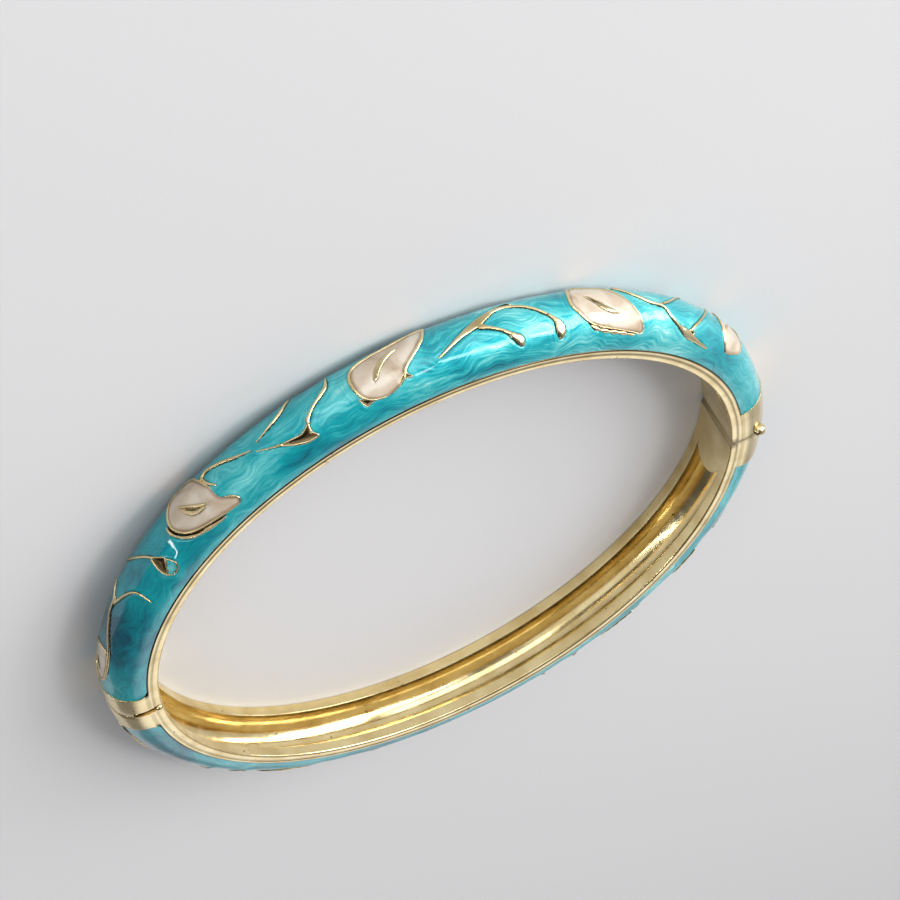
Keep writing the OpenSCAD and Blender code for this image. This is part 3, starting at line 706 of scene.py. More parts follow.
def band_section():
    """The band's section from the crown over the upper rim to the channel, for the upper side.

    Each row is (r, z) with the recess and the channel, (r, z) without them, the part it belongs to, its dome angle
    and its painted shade.
    """
    s = sizes()
    low = s.dome - s.recess
    rows = []
    for p in (*range(0, 88, 4), 87, 90):
        c, d = math.cos(math.radians(p)), math.sin(math.radians(p))
        rows.append((s.ring + low * c, low * d, s.ring + s.dome * c, s.dome * d, "field", p, 0))
    # the wall of the recess and its top edge, in mm, then a thin lip, a fine groove and the broad flat of the rim; the
    # last number of each row is painted shade, darkest in the line at the enamel's edge and in the groove
    for r, z, plain_r, plain_z, dark in (
        (31.22, 2.52, 31.46, 3.099, 0.9), (31.21, 2.98, 31.36, 3.09, 0.95), (31.18, 3.04, 31.26, 3.08, 0.95),
        (31.13, 3.075, 31.16, 3.085, 0.8),
    ):
        rows.append((r * MM, z * MM, plain_r * MM, plain_z * MM, "field", 90, dark))
    for r, z, dark in (
        (31.07, 3.09, 0.1), (30.98, 3.095, 0), (30.9, 3.085, 0), (30.84, 3.055, 0.15), (30.78, 3.04, 0.3),
        (30.72, 3.055, 0.15), (30.64, 3.085, 0), (30.52, 3.1, 0), (30.36, 3.1, 0), (30.2, 3.09, 0), (30.1, 3.06, 0.1),
        (30.035, 3.02, 0.1), (30.005, 2.95, 0), (30.0, 2.85, 0), (30.0, 2.4, 0), (30.0, 2.12, 0),
    ):
        rows.append((r * MM, z * MM, r * MM, z * MM, "rim", 90, dark))
    centre = s.inside + s.channel_in
    mouth = math.sqrt(s.channel ** 2 - s.channel_in ** 2)
    rows.append((s.inside + 0.02 * MM, mouth + 0.1 * MM, s.inside, mouth + 0.1 * MM, "back", 90, 0))
    rows.append((s.inside + 0.09 * MM, mouth + 0.04 * MM, s.inside, mouth + 0.03 * MM, "back", 90, 0))
    first = math.acos(-(s.channel_in - 0.2 * MM) / s.channel)
    steps = 14
    for k in range(steps + 1):
        t = first * (1 - k / steps)
        z = s.channel * math.sin(t)
        rows.append((centre + s.channel * math.cos(t), z, s.inside, min(z, mouth - 0.02 * MM * (k + 1)), "back", 90, 0))
    return rows


def half_ring_nodes():
    """Sweeps the section in the input mesh round half of the ring, with the recess and channel where the path says."""
    tree = node_group("half_ring_sweep", {
        "Path": "Object", "Turn": "Float", "Ring Radius": "Float", "Middle Height": "Float", "Material": "Material"})
    given = add(tree, "NodeGroupInput").outputs
    section = add(tree, "GeometryNodeMeshToCurve", given["Geometry"])
    path = add(tree, "GeometryNodeObjectInfo", given["Path"]).outputs["Geometry"]
    path = add(tree, "GeometryNodeMeshToCurve", path)
    swept = add(tree, "GeometryNodeCurveToMesh", {"Curve": path, "Profile Curve": section, "Fill Caps": True})
    read = {name: add(tree, "GeometryNodeInputNamedAttribute", name, data_type="FLOAT") for name in (
        "cut_r", "cut_z", "plain_r", "plain_z", "field_part", "back_part", "start_lag", "nose_lag",
        "turn", "field", "back", "near_start", "near_nose", "taper")}
    cut = add(tree, "Math", read["field"], read["field_part"], operation="MULTIPLY")
    cut = add(tree, "Math", read["back"], read["back_part"], cut, operation="MULTIPLY_ADD")
    r = add(tree, "Mix", {"Factor": cut, "A": read["plain_r"], "B": read["cut_r"]})
    z = add(tree, "Mix", {"Factor": cut, "A": read["plain_z"], "B": read["cut_z"]})
    # the section draws in a little towards its middle at a rounded end
    r = add(tree, "Mix", {"Factor": read["taper"], "A": r, "B": given["Ring Radius"]})
    z = add(tree, "Mix", {"Factor": read["taper"], "A": z, "B": 0.0})
    z = add(tree, "Math", z, given["Middle Height"], operation="ADD")
    turn = add(tree, "Math", read["near_start"], read["start_lag"], read["turn"], operation="MULTIPLY_ADD")
    turn = add(tree, "Math", read["near_nose"], read["nose_lag"], turn, operation="MULTIPLY_ADD")
    turn = add(tree, "Math", turn, given["Turn"], operation="MULTIPLY")
    return settled(tree, swept, turn, r, z, given["Material"])


def band_body(half, tree):
    """The half ring before its ends are cut: rounded rims, a recess for the enamel and the channel at its back."""
    s = sizes()
    side = band_section()
    loop = side + [(r, -z, pr, -pz, part, -p, dark) for r, z, pr, pz, part, p, dark in side[-2:0:-1]]
    n = len(loop)
    cut_r, cut_z, plain_r, plain_z, parts, angles, darks = zip(*loop)
    nose_r = s.channel - 0.2 * MM
    heights = [min(abs(z), nose_r * 0.985) for z in plain_z]
    points = [(r, z, 0) for r, z in zip(cut_r, cut_z)]
    # shadow carries the section's painted shade, and inward marks the inside faces that are painted a brighter gold
    section = wires(half + "_band_cast", points, [(i, (i + 1) % n) for i in range(n)], {
        "cut_r": cut_r, "cut_z": cut_z, "plain_r": plain_r, "plain_z": plain_z,
        "field_part": [part == "field" for part in parts], "back_part": [part == "back" for part in parts],
        "start_lag": [math.radians(corner_lag(p)) if part == "field" else 0 for part, p in zip(parts, angles)],
        "nose_lag": [(nose_r - math.sqrt(nose_r ** 2 - h * h)) / s.inside if part == "back" else 0
                     for part, h in zip(parts, heights)],
        "shadow": darks, "inward": [r < s.inside + 0.1 * MM or part == "back" for r, part in zip(cut_r, parts)],
    })
    start = start_of(half) + JOINT_HALF
    enamel = start_of(half) + ENAMEL_FROM_CLASP
    wall = {"front": 1.0, "rear": 3.2}[half] * MM
    channel = start_of(half) + math.degrees(wall / s.ring)
    # columns lie close together where the section changes, and 1 degree apart elsewhere
    marks = {start, start + 0.04, start + 0.12, channel - 0.01, channel + 0.01, enamel - 0.02, enamel + 0.02, NOSE,
             NOSE + 0.02, NOSE_END, ENAMEL_LAST - 0.02, ENAMEL_LAST + 0.02, SWEEP_END}
    plain = [a for a in np.arange(math.ceil(start + 1), SWEEP_END, 1.0)
             if min(abs(a - m) for m in marks) > 0.3 and not NOSE < a < NOSE_END]
    columns = np.array(sorted(marks | set(plain)))
    turns = np.radians(columns)
    path = wires("path", [(t, 0, 0) for t in turns], [(i, i + 1) for i in range(len(turns) - 1)], {
        "turn": turns, "field": (columns > enamel) & (columns < ENAMEL_LAST),
        "back": (columns > channel) & (columns <= NOSE),
        "near_start": np.interp(columns, [start + 0.12, enamel, enamel + 4], [0, 1, 0]),
        "near_nose": np.interp(columns, [NOSE - 4, NOSE, NOSE + 0.02, NOSE_END], [0, 1, 1, 0]),
        "taper": np.interp(columns, [start, start + 0.04, start + 0.12], [0.018, 0.006, 0]),
    })
    obj = give(section, tree, {
        "Path": path, "Turn": float(TURNS[half]), "Ring Radius": s.ring, "Middle Height": s.dome,
        "Material": gold_plating()})
    bpy.data.objects.remove(path)
    return obj


def pin_head_height():
    """Height of the middle of the pin's ball head over the middle of the band, so that it lies on the dome."""
    s = sizes()
    return math.sqrt(s.dome ** 2 - (HINGE_PLACE - s.ring) ** 2) + 0.1 * MM


def hinge_cuts(half, obj):
    """Cuts a half back to its joint face and its knuckles, and makes the bore and seats of the pin."""
    s = sizes()
    side = -TURNS[half]
    reach, gap, knuckle, play, bevel = 2 * s.dome, 0.1 * MM, 1.05 * MM, 0.06 * MM, 0.6 * MM
    bore = {"front": 0.41, "rear": 0.44}[half] * MM
    ball_seat, foot_seat = BALL_RADIUS + 0.03 * MM, 0.63 * MM
    low, high = s.dome - PAST, s.dome + PAST
    place = (-HINGE_PLACE, 0, s.dome)
    slope = math.tan(math.radians(OPEN_HALF))
    outline = [(reach, -side * gap / 2), (0, -side * gap / 2), (-reach, -side * reach * slope), (-reach, side * reach),
               (reach, side * reach)]
    tool = prism([(x - HINGE_PLACE, y) for x, y in outline], low, high)
    # the knuckles of each half, as heights in mm over the middle of the band
    spans = {"rear": [(-1.0, 1.0)], "front": [(1.06, 4.1), (-4.1, -1.06)]}
    for foot, top in spans[half]:
        tool = combine(tool, rod(place, knuckle, foot * MM, top * MM), "DIFFERENCE")
    obj = combine(obj, tool, "DIFFERENCE")
    for foot, top in spans["rear" if half == "front" else "front"]:
        obj = combine(obj, rod(place, knuckle + play, foot * MM - play, top * MM + play), "DIFFERENCE")
    corner = [(-s.inside + bevel, 0), (-s.inside, bevel), (-s.inside - bevel, 0), (-s.inside, -bevel)]
    ball_up = pin_head_height()
    for tool in (
        prism(corner, low, high), rod(place, bore, -PAST, PAST, sides=48),
        ball((-HINGE_PLACE, 0, s.dome + ball_up), ball_seat),
        rod(place, foot_seat, -PAST, 0.5 * MM - ball_up, sides=48),
    ):
        obj = combine(obj, tool, "DIFFERENCE")
    return obj


def swing_outline(near, far, before, after):
    """An outline at the clasp between two distances from the hinge pin, from before to after the joint, all in mm."""
    def place(r, past):
        a = math.asin(sizes().inside / MM * math.sin(math.radians(CLASP_ANGLE)) / r) - past / r
        return (r * math.cos(a) * MM - HINGE_PLACE, r * math.sin(a) * MM)
    steps = np.linspace(before, after, 7)
    return [place(far, p) for p in steps] + [place(near, p) for p in steps[::-1]]


def at_clasp(x, y):
    """A place in mm, x out from the ring's axis along the clasp joint and y past the joint, as a place in the ring."""
    t = math.radians(CLASP_ANGLE)
    return ((x * math.cos(t) - y * math.sin(t)) * MM, (x * math.sin(t) + y * math.cos(t)) * MM)


def clasp_box(near, far, before, after):
    """A rectangle at the clasp, from near to far out from the ring's axis and from before to after the joint."""
    return [at_clasp(x, y) for x, y in ((near, before), (far, before), (far, after), (near, after))]


def clasp_cuts(half, obj):
    """The slot for the thumb tab and its bead, and the window or the seat of the tongue."""
    dome = sizes().dome
    # all in mm here: places out from the axis or from the hinge pin, and places past the joint
    slot = clasp_box(29, 32.9, -0.52, 0.26)
    obj = combine(obj, prism(slot, dome - 0.6 * MM, dome + 5 * MM), "DIFFERENCE")
    if half == "front":
        opening, half_height = swing_outline(TONGUE_OUT - 1.6, TONGUE_OUT + 0.3, -1, 2.5), 1.4 * MM
    else:
        opening, half_height = swing_outline(TONGUE_OUT - 0.41, TONGUE_OUT + 0.03, -2.23, 1), 1.13 * MM
    return shade(combine(obj, prism(opening, dome - half_height, dome + half_height), "DIFFERENCE"), 40)


def raised_line_nodes():
    """Sweeps a low rounded ridge along flat paths and wraps it round the dome."""
    tree = node_group("raised_line_on_dome", {
        "Ring Radius": "Float", "Dome Radius": "Float", "Enamel Radius": "Float", "Foot Depth": "Float",
        "Lump Size": "Float", "Sides": "Int", "Material": "Material"})
    given = add(tree, "NodeGroupInput").outputs
    curve = add(tree, "GeometryNodeMeshToCurve", given["Geometry"])
    curve = add(tree, "GeometryNodeSetCurveNormal", curve, mode="Z_UP")
    ring = add(tree, "GeometryNodeCurvePrimitiveCircle", {"Resolution": given["Sides"], "Radius": 1.0})
    width, dish, deep, rise = (add(tree, "GeometryNodeInputNamedAttribute", name, data_type="FLOAT")
                               for name in ("half_width", "dish", "deep", "rise"))
    ridge = add(tree, "GeometryNodeCurveToMesh", {
        "Curve": curve, "Profile Curve": ring, "Scale": width, "Fill Caps": True})
    flat_place = add(tree, "GeometryNodeInputPosition")
    parts = add(tree, "SeparateXYZ", flat_place).outputs
    # from -1 at the foot of the round section to 1 at its crest
    crest = add(tree, "Math", parts["Z"], width, operation="DIVIDE")
    # painted shade: a dished crest, the foot of every line and the whole of a dark gap line are painted dark, stored as
    # shadow
    hollow = add(tree, "MapRange", crest, 0.6, 0.88, interpolation_type="SMOOTHSTEP")
    hollow = add(tree, "Math", hollow, dish, operation="MULTIPLY")
    foot = add(tree, "MapRange", crest, 0.2, 0.62, 0.9, 0.0, interpolation_type="SMOOTHSTEP")
    shadow = add(tree, "Math", hollow, foot, operation="MAXIMUM")
    shadow = add(tree, "Math", shadow, deep, operation="MAXIMUM")
    ridge = add(tree, "GeometryNodeStoreNamedAttribute", ridge, {"Name": "shadow", "Value": shadow},
                data_type="FLOAT", domain="POINT")
    # soldered lines are a little lumpy along their length
    lump = add(tree, "Math", 1.0, given["Lump Size"], operation="DIVIDE")
    lump = add(tree, "TexNoise", flat_place, {"Scale": lump, "Detail": 1.0})
    lump = add(tree, "Math", lump, 0.5, 0.75, operation="MULTIPLY_ADD")
    rise = add(tree, "Math", rise, lump, operation="MULTIPLY")
    lower = add(tree, "Math", deep, 0.4, operation="MULTIPLY")
    lower = add(tree, "Math", hollow, 0.92, lower, operation="MULTIPLY_ADD")
    over = add(tree, "Math", crest, lower, operation="SUBTRACT")
    over = add(tree, "Math", over, 0.0, operation="MAXIMUM")
    under = add(tree, "Math", crest, 0.0, operation="MINIMUM")
    under = add(tree, "Math", under, given["Foot Depth"], given["Enamel Radius"], operation="MULTIPLY_ADD")
    height = add(tree, "Math", over, rise, under, operation="MULTIPLY_ADD")
    outside = add(tree, "Math", given["Ring Radius"], given["Dome Radius"], operation="ADD")
    turn = add(tree, "Math", parts["X"], outside, operation="DIVIDE")
    tilt = add(tree, "Math", parts["Y"], given["Dome Radius"], operation="DIVIDE")
    out = add(tree, "Math", tilt, operation="COSINE")
    up = add(tree, "Math", tilt, operation="SINE")
    reach = add(tree, "Math", height, out, given["Ring Radius"], operation="MULTIPLY_ADD")
    level = add(tree, "Math", height, up, given["Dome Radius"], operation="MULTIPLY_ADD")
    return settled(tree, ridge, turn, reach, level, given["Material"])


def raised_lines(half, tree):
    """All raised lines, veins and outlines of one half, as one gold piece."""
    s = sizes()
    lines, outlines, hollows = ornament(half)
    rows, edges = [], []
    for path, closed in [(q, False) for q in lines] + [(q, True) for q in outlines + hollows]:
        base, n = len(rows), len(path)
        rows += list(path)
        edges += [(base + i, base + (i + 1) % n) for i in range(n if closed else n - 1)]
    x, y, width, hollow = np.array(rows).T
    thinnest, sink = 0.015, 0.03 * MM
    width = np.maximum(width, thinnest) * MM
    # a hollow of 1 dishes the crest and paints shade into it, and from there to 2 the whole line is painted dark as
    # shade and goes low instead
    deep = np.clip(hollow - 1, 0, 1)
    # a wide line stands higher than a plain one, and a very thin one sinks into the enamel
    rise = np.minimum((0.82 + 0.18 * width / s.line_half) * s.line_rise, 1.3 * width - sink)
    points = np.stack([x * TURNS[half] * MM, y * MM, 0 * x], axis=1)
    obj = wires(half + "_raised_lines", points.tolist(), edges, {
        "half_width": width, "dish": hollow * (1 - deep), "deep": deep, "rise": rise})
    obj = give(obj, tree, {
        "Ring Radius": s.ring, "Dome Radius": s.dome, "Enamel Radius": s.dome - s.sink, "Foot Depth": 0.25 * MM,
        "Lump Size": 0.6 * MM, "Sides": 24, "Material": gold_plating()})
    return shade(obj, 60)


def enamel_skin(half):
    """The turquoise enamel of one half: a glassy dome, dished between the lines and drawn up a little to each."""
    s = sizes()
    top = s.dome - s.sink
    rim = s.inside + s.rim + CLEAR - s.ring
    edge = math.degrees(math.acos(rim / top))
    first = start_of(half) + ENAMEL_FROM_CLASP + ENAMEL_IN
    last = ENAMEL_LAST - ENAMEL_IN
    rows = int(2 * math.radians(edge) * top / s.grid)
    cols = int(math.radians(last - first) * (s.ring + s.dome) / s.grid)
    p = np.linspace(-edge, edge, rows)
    t = np.linspace(0, 1, cols)[:, None]
    a = (first + np.array([corner_lag(v) for v in p]))[None, :] * (1 - t) + last * t
    p = np.broadcast_to(p[None, :], a.shape)
    x, y = flat(a, p)
    lines, outlines, hollows = ornament(half)
    gap, sunk = pressed_down(x, y, lines, outlines + hollows, 0.5)
    for path in outlines + hollows:
        gap = np.minimum(gap, distance_to(x, y, path, closed=True))
    border = np.minimum((edge - np.abs(p)) * math.radians(top / MM), (last - a) * math.radians((s.ring + s.dome) / MM))
    border = np.minimum(border, (a - a[:1]) * math.radians((s.ring + s.dome) / MM))
    near = np.clip(np.minimum(gap, border), 0, None)
    # in mm: how high the enamel meets metal, how far it climbs to it, most of it within spread, how far it waves
    # in between, and how far it is pressed under metal
    lift, climb, spread, wave, press = 0.03, 0.09, 0.6, 0.016, 0.4
    height = top / MM + lift - climb * (1 - np.exp(-near / spread))
    height = height + wave * waviness(x, y) * np.clip(near / spread, 0, 1) - press * sunk
    surface = on_dome(half, a, p, height * MM)
    degrees, tones, silks = zip(*ALONG)
    tone, silk = np.interp(a, degrees, tones), np.interp(a, degrees, silks)
    for at, q, reach, value in SPOTS:
        sx, sy = flat(ring_angle(half, at), q)
        tone += value * np.exp(-((x - sx) ** 2 + (y - sy) ** 2) / (2 * (reach * 0.5) ** 2))
    # the underside, just clear of the recess's floor
    deep = s.dome - s.recess + 0.04 * MM
    under = 12
    low_p = np.linspace(1, -1, under) * math.degrees(math.acos(rim / deep))
    low_a = np.repeat(a[:, rows // 2][:, None], under, axis=1)
    low_a[:, [0, -1]] = a[:, [-1, 0]]
    floor = on_dome(half, low_a, np.broadcast_to(low_p[None, :], low_a.shape), deep)
    points = np.concatenate([surface, floor], axis=1)
    n = rows + under
    faces = [tuple(range(n)), tuple((cols - 1) * n + i for i in range(n))]
    for j in range(cols - 1):
        faces += [(j * n + i, (j + 1) * n + i, (j + 1) * n + (i + 1) % n, j * n + (i + 1) % n) for i in range(n)]
    obj = solid_from(half + "_enamel_glaze", points.reshape(-1, 3), faces, 50)
    for name, values in (("line_distance", np.clip(gap, 0, FAR)), ("tone", tone), ("silk", silk)):
        store(obj, name, np.pad(values, ((0, 0), (0, under))).ravel())
    flat_x, flat_y = (np.pad(v, ((0, 0), (0, under)), mode="edge").ravel() for v in (x, y))
    surface_uv(obj, flat_x + APART[half], flat_y)
    return obj


def filling(half, outline, spacing, top):
    """A closed patch that fills an outline: its points, faces, and the flat places and edge distances of its points.

    top gives the height over the dome's centre circle in mm, from flat places and edge distances. The underside is
    flat.
    """
    lo, hi = outline.min(axis=0), outline.max(axis=0)
    gx, gy = np.meshgrid(np.arange(lo[0], hi[0], spacing), np.arange(lo[1], hi[1], spacing))
    keep = inside_of(gx, gy, outline) & (distance_to(gx, gy, outline, closed=True, width=0.0) > 0.6 * spacing)
    spots = [Vector((float(u), float(v))) for u, v in [*outline[:, :2], *zip(gx[keep], gy[keep])]]
    made = geometry.delaunay_2d_cdt(spots, [], [list(range(len(outline)))], 1, 1e-5)
    x, y = np.array([tuple(q) for q in made[0]]).T
    near = distance_to(x, y, outline, closed=True).clip(0, FAR)
    s = sizes()
    a, p = np.degrees(x * MM / (s.ring + s.dome)), np.degrees(y * MM / s.dome)
    m = len(x)
    foot = s.dome - 0.42 * MM
    points = np.concatenate([on_dome(half, a, p, top(x, y, near) * MM), on_dome(half, a, p, np.full(m, foot))])
    faces = [tuple(f) for f in made[2]]
    sides = {(f[i], f[(i + 1) % len(f)]) for f in faces for i in range(len(f))}
    walls = [(b, e, e + m, b + m) for e, b in sides if (b, e) not in sides]
    faces += [tuple(i + m for i in f) for f in faces] + walls
    return points, faces, np.tile(x, 2), np.tile(y, 2), np.concatenate([near, near * 0])


def petal_skin(half, number):
    """One cream petal: a slightly crowned glassy drop that fills its outline, open where bare metal shows."""
    s = sizes()
    lines, outlines, hollows = ornament(half)
    # in mm, as for the turquoise enamel, but a petal rises away from metal, by its crown
    lift, crown, spread, wave, press = 0.03, 0.03, 0.5, 0.01, 0.3

    def top(x, y, near):
        sunk = pressed_down(x, y, lines, hollows, 0.7)[1]
        rise = crown * (1 - np.exp(-near / spread)) + wave * waviness(x, y)
        return (s.dome - s.sink) / MM + lift + rise - press * sunk

    points, faces, x, y, near = filling(half, outlines[number], 0.14, top)
    obj = solid_from("%s_petal_%d_glaze" % (half, number + 1), points, faces, 60)
    store(obj, "line_distance", near)
    surface_uv(obj, x + APART[half] + 7, y)
    return obj


def bare_hollows(half):
    """The bare metal in all the hollows of one half, as one piece, painted dark as shade."""
    s = sizes()
    level = (s.dome - s.sink) / MM
    # in mm: how far a hollow's edge lies under the enamel's level, how much deeper its floor is, and how soon
    edge, depth, spread = 0.02, 0.14, 0.12

    def top(x, y, near):
        return level - edge - depth * (1 - np.exp(-near / spread))

    points, faces, darks = [], [], []
    for outline in ornament(half)[2]:
        more, ring, _, _, near = filling(half, outline, 0.1, top)
        faces += [tuple(i + len(points) for i in f) for f in ring]
        points += list(more)
        # painted shade, darker away from the hollow's edge
        darks += list(0.75 + 0.2 * np.clip(near / 0.15, 0, 1))
    obj = solid_from(half + "_bare_hollows", points, faces, 60)
    store(obj, "shadow", darks)
    return obj


def turned(name, outline, centre, sides=64):
    """A closed piece turned about a Z axis from (radius, height) points, the first and last on the axis."""
    rings = outline[1:-1]
    around = np.linspace(0, 2 * math.pi, sides, endpoint=False)
    points = [(centre[0] + r * math.cos(t), centre[1] + r * math.sin(t), z) for r, z in rings for t in around]
    low, high = len(points), len(points) + 1
    points += [(*centre, outline[0][1]), (*centre, outline[-1][1])]
    faces = []
    for k in range(sides):
        m = (k + 1) % sides
        rows = range(0, (len(rings) - 1) * sides, sides)
        faces += [(low, m, k), (high, low - sides + k, low - sides + m)]
        faces += [(j + k, j + m, j + sides + m, j + sides + k) for j in rows]
    return solid_from(name, points, faces, 50)


def seam_shadow(half, obj):
    """Paints shade on the metal at the hinge joint, the notch inside it and the clasp joint, and ends the rim's painted
    dark line where the enamel ends.
    """
    n = len(obj.data.vertices)
    spots = np.empty(n * 3)
    obj.data.vertices.foreach_get("co", spots)
    x, y = spots.reshape(-1, 3)[:, 0], spots.reshape(-1, 3)[:, 1]
    dark = np.empty(n, dtype=np.float32)
    layer = obj.data.attributes["shadow"].data
    layer.foreach_get("value", dark)
    ring = np.degrees(np.arctan2(y, x)) * TURNS[half]
    plates = (ring < start_of(half) + ENAMEL_FROM_CLASP) | (ring > ENAMEL_LAST)
    dark[plates] = np.minimum(dark[plates], 0.3)
    # half the widths of the hinge's joint line and of the notch on its inside, and how far out the joints lie
    joint, notch, side = 0.06 * MM, 0.62 * MM, 20 * MM
    hinge = (x < -side) & (np.abs(y) < joint)
    hinge |= (x < -29.9 * MM) & (x > -30.7 * MM) & (np.abs(y) < notch)
    clasp = (x > side) & (np.abs(ring - start_of(half) - JOINT_HALF) < 0.02)
    for place, value in ((hinge, 0.55), (clasp, 0.9)):
        dark[place] = value
    layer.foreach_set("value", dark)


class BANGLE_OT_bands(bpy.types.Operator):
    """Sweeps the two cast half rings, and cuts their hinge knuckles and clasp openings"""
    bl_idname = "bangle.bands"
    bl_label = "Cast bands"

    def execute(self, context):
        tree = half_ring_nodes()
        for half in TURNS:
            obj = clasp_cuts(half, hinge_cuts(half, band_body(half, tree)))
            seam_shadow(half, obj)
            finished(obj, gold_plating(), "plated_metal", half + "_half", half + "_band")
        return {"FINISHED"}


class BANGLE_OT_lines(bpy.types.Operator):
    """Sweeps the raised gold lines, petal outlines and veins over the dome, and lays the metal of the hollows"""
    bl_idname = "bangle.lines"
    bl_label = "Raised lines"

    def execute(self, context):
        tree = raised_line_nodes()
        for half in TURNS:
            finished(raised_lines(half, tree), None, "plated_metal", half + "_half")
            finished(bare_hollows(half), gold_plating(), "plated_metal", half + "_half")
        return {"FINISHED"}


class BANGLE_OT_enamel(bpy.types.Operator):
    """Pours the turquoise enamel between the lines of each half"""
    bl_idname = "bangle.enamel"
    bl_label = "Turquoise enamel"

    def execute(self, context):
        material = pearl_enamel()
        for half in TURNS:
            finished(enamel_skin(half), material, "turquoise_enamel", half + "_half", half + "_enamel")
        return {"FINISHED"}


class BANGLE_OT_petals(bpy.types.Operator):
    """Fills the petals with cream enamel"""
    bl_idname = "bangle.petals"
    bl_label = "Cream petals"

    def execute(self, context):
        material = cream_enamel()
        for half in TURNS:
            for number in range(len(PETALS)):
                node = "%s_petal_%d" % (half, number + 1)
                finished(petal_skin(half, number), material, "cream_enamel", half + "_half", node)
        return {"FINISHED"}


class BANGLE_OT_pin(bpy.types.Operator):
    """Turns the hinge pin with its ball head and its foot"""
    bl_idname = "bangle.pin"
    bl_label = "Hinge pin"

    def execute(self, context):
        centre = sizes().dome + pin_head_height()
        low = sizes().dome - pin_head_height() + 0.5 * MM
        # the foot, as radii and heights in mm over its top, then the shank and the ball
        shank = 0.4 * MM
        outline = [(r * MM, low + z * MM) for r, z in (
            (0, -0.35), (0.52, -0.35), (0.58, -0.32), (0.6, -0.26), (0.6, -0.05), (0.56, 0))]
        outline += [(shank, low + 0.01 * MM)]
        for t in np.linspace(-math.acos(shank / BALL_RADIUS), math.pi / 2, 25)[:-1]:
            outline.append((BALL_RADIUS * math.cos(t), centre + BALL_RADIUS * math.sin(t)))
        outline.append((0, centre + BALL_RADIUS))
        pin = turned("hinge_pin_ball", outline, (-HINGE_PLACE, 0))
        finished(pin, gold_plating(), "pin_metal", "front_half", "hinge_pin")
        return {"FINISHED"}


class BANGLE_OT_tongue(bpy.types.Operator):
    """Folds the spring tongue, and sets its thumb tab and bead"""
    bl_idname = "bangle.tongue"
    bl_label = "Clasp tongue"

    def execute(self, context):
        dome = sizes().dome
        # in mm: the leaf's thickness, the fold's depth, how far the tongue reaches, half the widths of leaf and neck
        leaf, fold, end, broad, neck = 0.38, 1.3, 3.8, 1.1, 0.4
        inner, ease = TONGUE_OUT - fold, 0.05 * MM
        obj = prism(swing_outline(TONGUE_OUT - leaf, TONGUE_OUT, -2.2, end), dome - broad * MM, dome + broad * MM, ease)
        obj.name = "clasp_tongue_folded"
        for near, far, before, after, w in (
            (inner, TONGUE_OUT, end - leaf, end, broad), (inner, inner + leaf, 0.97, end, broad),
            (inner, inner + leaf, 0, end, neck),
        ):
            tool = prism(swing_outline(near, far, before, after), dome - w * MM, dome + w * MM, ease)
            obj = combine(obj, tool, "UNION")
        # the tab's long low part and its short high part
        for far, top in ((32.75, 2.75), (30.62, 2.95)):
            tool = prism(clasp_box(30.22, far, -0.47, 0), dome - neck * MM, dome + top * MM, ease)
            obj = combine(obj, tool, "UNION")
        obj = combine(obj, ball((*at_clasp(30.45, -0.15), dome + 3.0 * MM), 0.36 * MM), "UNION")
        finished(shade(obj, 40), gold_plating(), "spring_metal", "rear_half", "clasp_tongue")
        return {"FINISHED"}


def softbox(name, turn, lift, distance, width, height, radiance):
    """A soft rectangular light that faces the bangle.

    turn is its bearing in degrees from +Y towards +X, lift its angle over the floor, radiance how bright its face is.
    """
    light = bpy.data.lights.new(name, "AREA")
    light.shape = "RECTANGLE"
    light.size, light.size_y = width, height
    light.energy = radiance * math.pi * width * height
    obj = linked(name, light)
    t, e = math.radians(turn), math.radians(lift)
    obj.location = Vector((math.sin(t) * math.cos(e), math.cos(t) * math.cos(e), math.sin(e))) * distance
    obj.rotation_mode = "QUATERNION"
    obj.rotation_quaternion = (-obj.location).to_track_quat("-Z", "Y")


def soft_room():
    """A soft studio room: bright on the hinge side, dim overhead and beyond the clasp, which keeps the colours deep."""
    world = bpy.data.worlds.new("soft_room")
    world.use_nodes = True
    tree = world.node_tree
    tree.nodes.clear()
    way = add(tree, "TexCoord").outputs["Generated"]
    hinge_side = add(tree, "VectorMath", way, (-0.8, 0, -0.6), operation="DOT_PRODUCT")
    bright = add(tree, "MapRange", hinge_side, -0.8, 0.8, 0.1, 0.75)
    # a soft glow behind the hinge side, low down, which the flat rims catch
    glow = add(tree, "VectorMath", way, (-0.09, 0.88, 0.465), operation="DOT_PRODUCT")
    glow = add(tree, "MapRange", glow, 0.92, 0.995, 0.0, 0.85, interpolation_type="SMOOTHSTEP")
    bright = add(tree, "Math", bright, glow, operation="ADD")
    back = add(tree, "Background", linear("#fdfdff"), bright)
    add(tree, "OutputWorld", back)
    return world


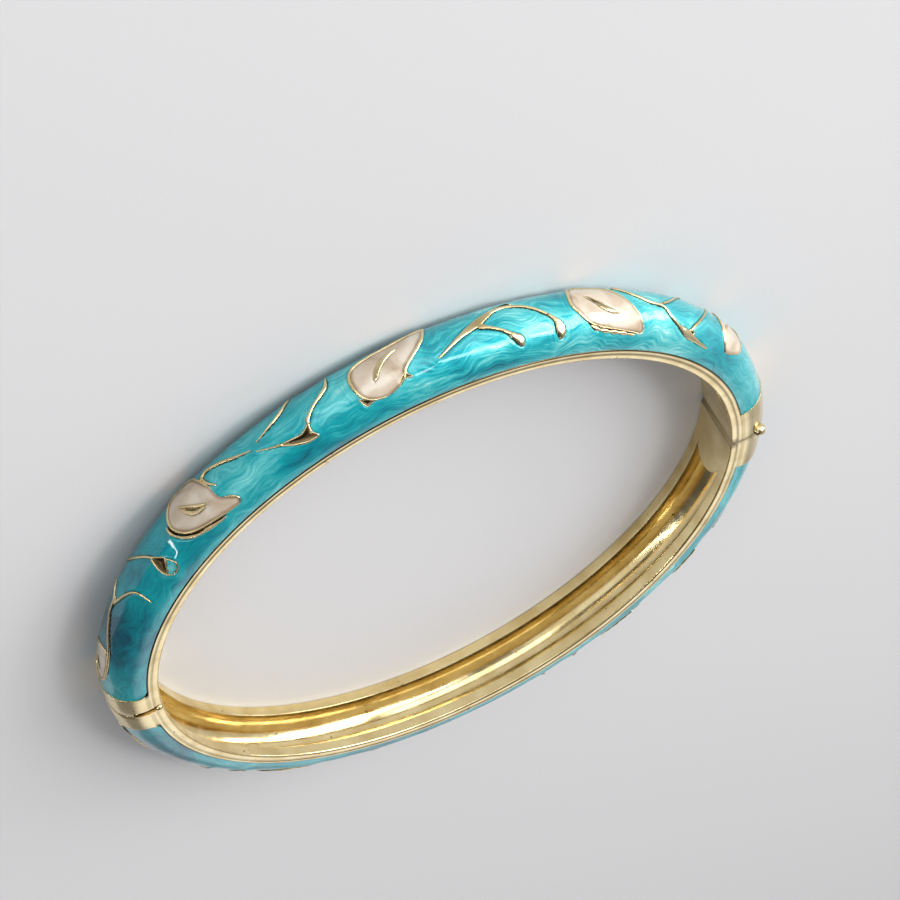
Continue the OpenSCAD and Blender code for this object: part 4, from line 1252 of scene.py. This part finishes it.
def camera_at_photo_angle():
    """The camera, turned and rolled as in the photo: the bangle lies on its side, seen from above its front half."""
    at = Vector(CAMERA_AT) * MM
    ahead = (Vector(CAMERA_AIM) * MM - at).normalized()
    right = ahead.cross(Vector((0, 0, 1))).normalized()
    up = right.cross(ahead)
    c, d = math.cos(CAMERA_ROLL), math.sin(CAMERA_ROLL)
    right, up = c * right + d * up, c * up - d * right
    camera = bpy.data.cameras.new("camera")
    camera.lens, camera.sensor_width = CAMERA_LENS, 36
    camera.clip_start, camera.clip_end = CAMERA_CLIP
    obj = linked("camera", camera)
    obj.matrix_world = Matrix.Translation(at) @ Matrix((right, up, -ahead)).transposed().to_4x4()
    return obj


class BANGLE_OT_stage(bpy.types.Operator):
    """Sets the pale floor, the soft lights and the camera"""
    bl_idname = "bangle.stage"
    bl_label = "Stage"

    def execute(self, context):
        h = sizes().floor
        mesh = bpy.data.meshes.new("pale_floor")
        mesh.from_pydata([(-h, -h, 0), (h, -h, 0), (h, h, 0), (-h, h, 0)], [], [(0, 1, 2, 3)])
        mesh.materials.append(pale_board())
        linked("pale_floor", mesh)
        context.scene.world = soft_room()
        for light in LIGHTS:
            softbox(*light)
        context.scene.camera = camera_at_photo_angle()
        context.scene.view_settings.view_transform = "Standard"
        return {"FINISHED"}


OPERATORS = (
    BANGLE_OT_bands, BANGLE_OT_lines, BANGLE_OT_enamel, BANGLE_OT_petals, BANGLE_OT_pin, BANGLE_OT_tongue,
    BANGLE_OT_stage,
)


class BANGLE_PT_panel(bpy.types.Panel):
    bl_label = "Bangle"
    bl_space_type = "VIEW_3D"
    bl_region_type = "UI"
    bl_category = "Bangle"

    def draw(self, context):
        for group in (context.scene.bangle_sizes, context.scene.bangle_colours):
            for name in group.__annotations__:
                self.layout.prop(group, name)
        for operator in OPERATORS:
            self.layout.operator(operator.bl_idname)


CLASSES = (BangleSizes, BangleColours, *OPERATORS, BANGLE_PT_panel)


def register():
    for cls in CLASSES:
        bpy.utils.register_class(cls)
    bpy.types.Scene.bangle_sizes = PointerProperty(type=BangleSizes)
    bpy.types.Scene.bangle_colours = PointerProperty(type=BangleColours)


def unregister():
    del bpy.types.Scene.bangle_sizes
    del bpy.types.Scene.bangle_colours
    for cls in reversed(CLASSES):
        bpy.utils.unregister_class(cls)


def main():
    register()
    bpy.ops.bangle.bands()
    bpy.ops.bangle.lines()
    bpy.ops.bangle.enamel()
    bpy.ops.bangle.petals()
    bpy.ops.bangle.pin()
    bpy.ops.bangle.tongue()
    bpy.ops.bangle.stage()


if __name__ == "__main__":
    main()
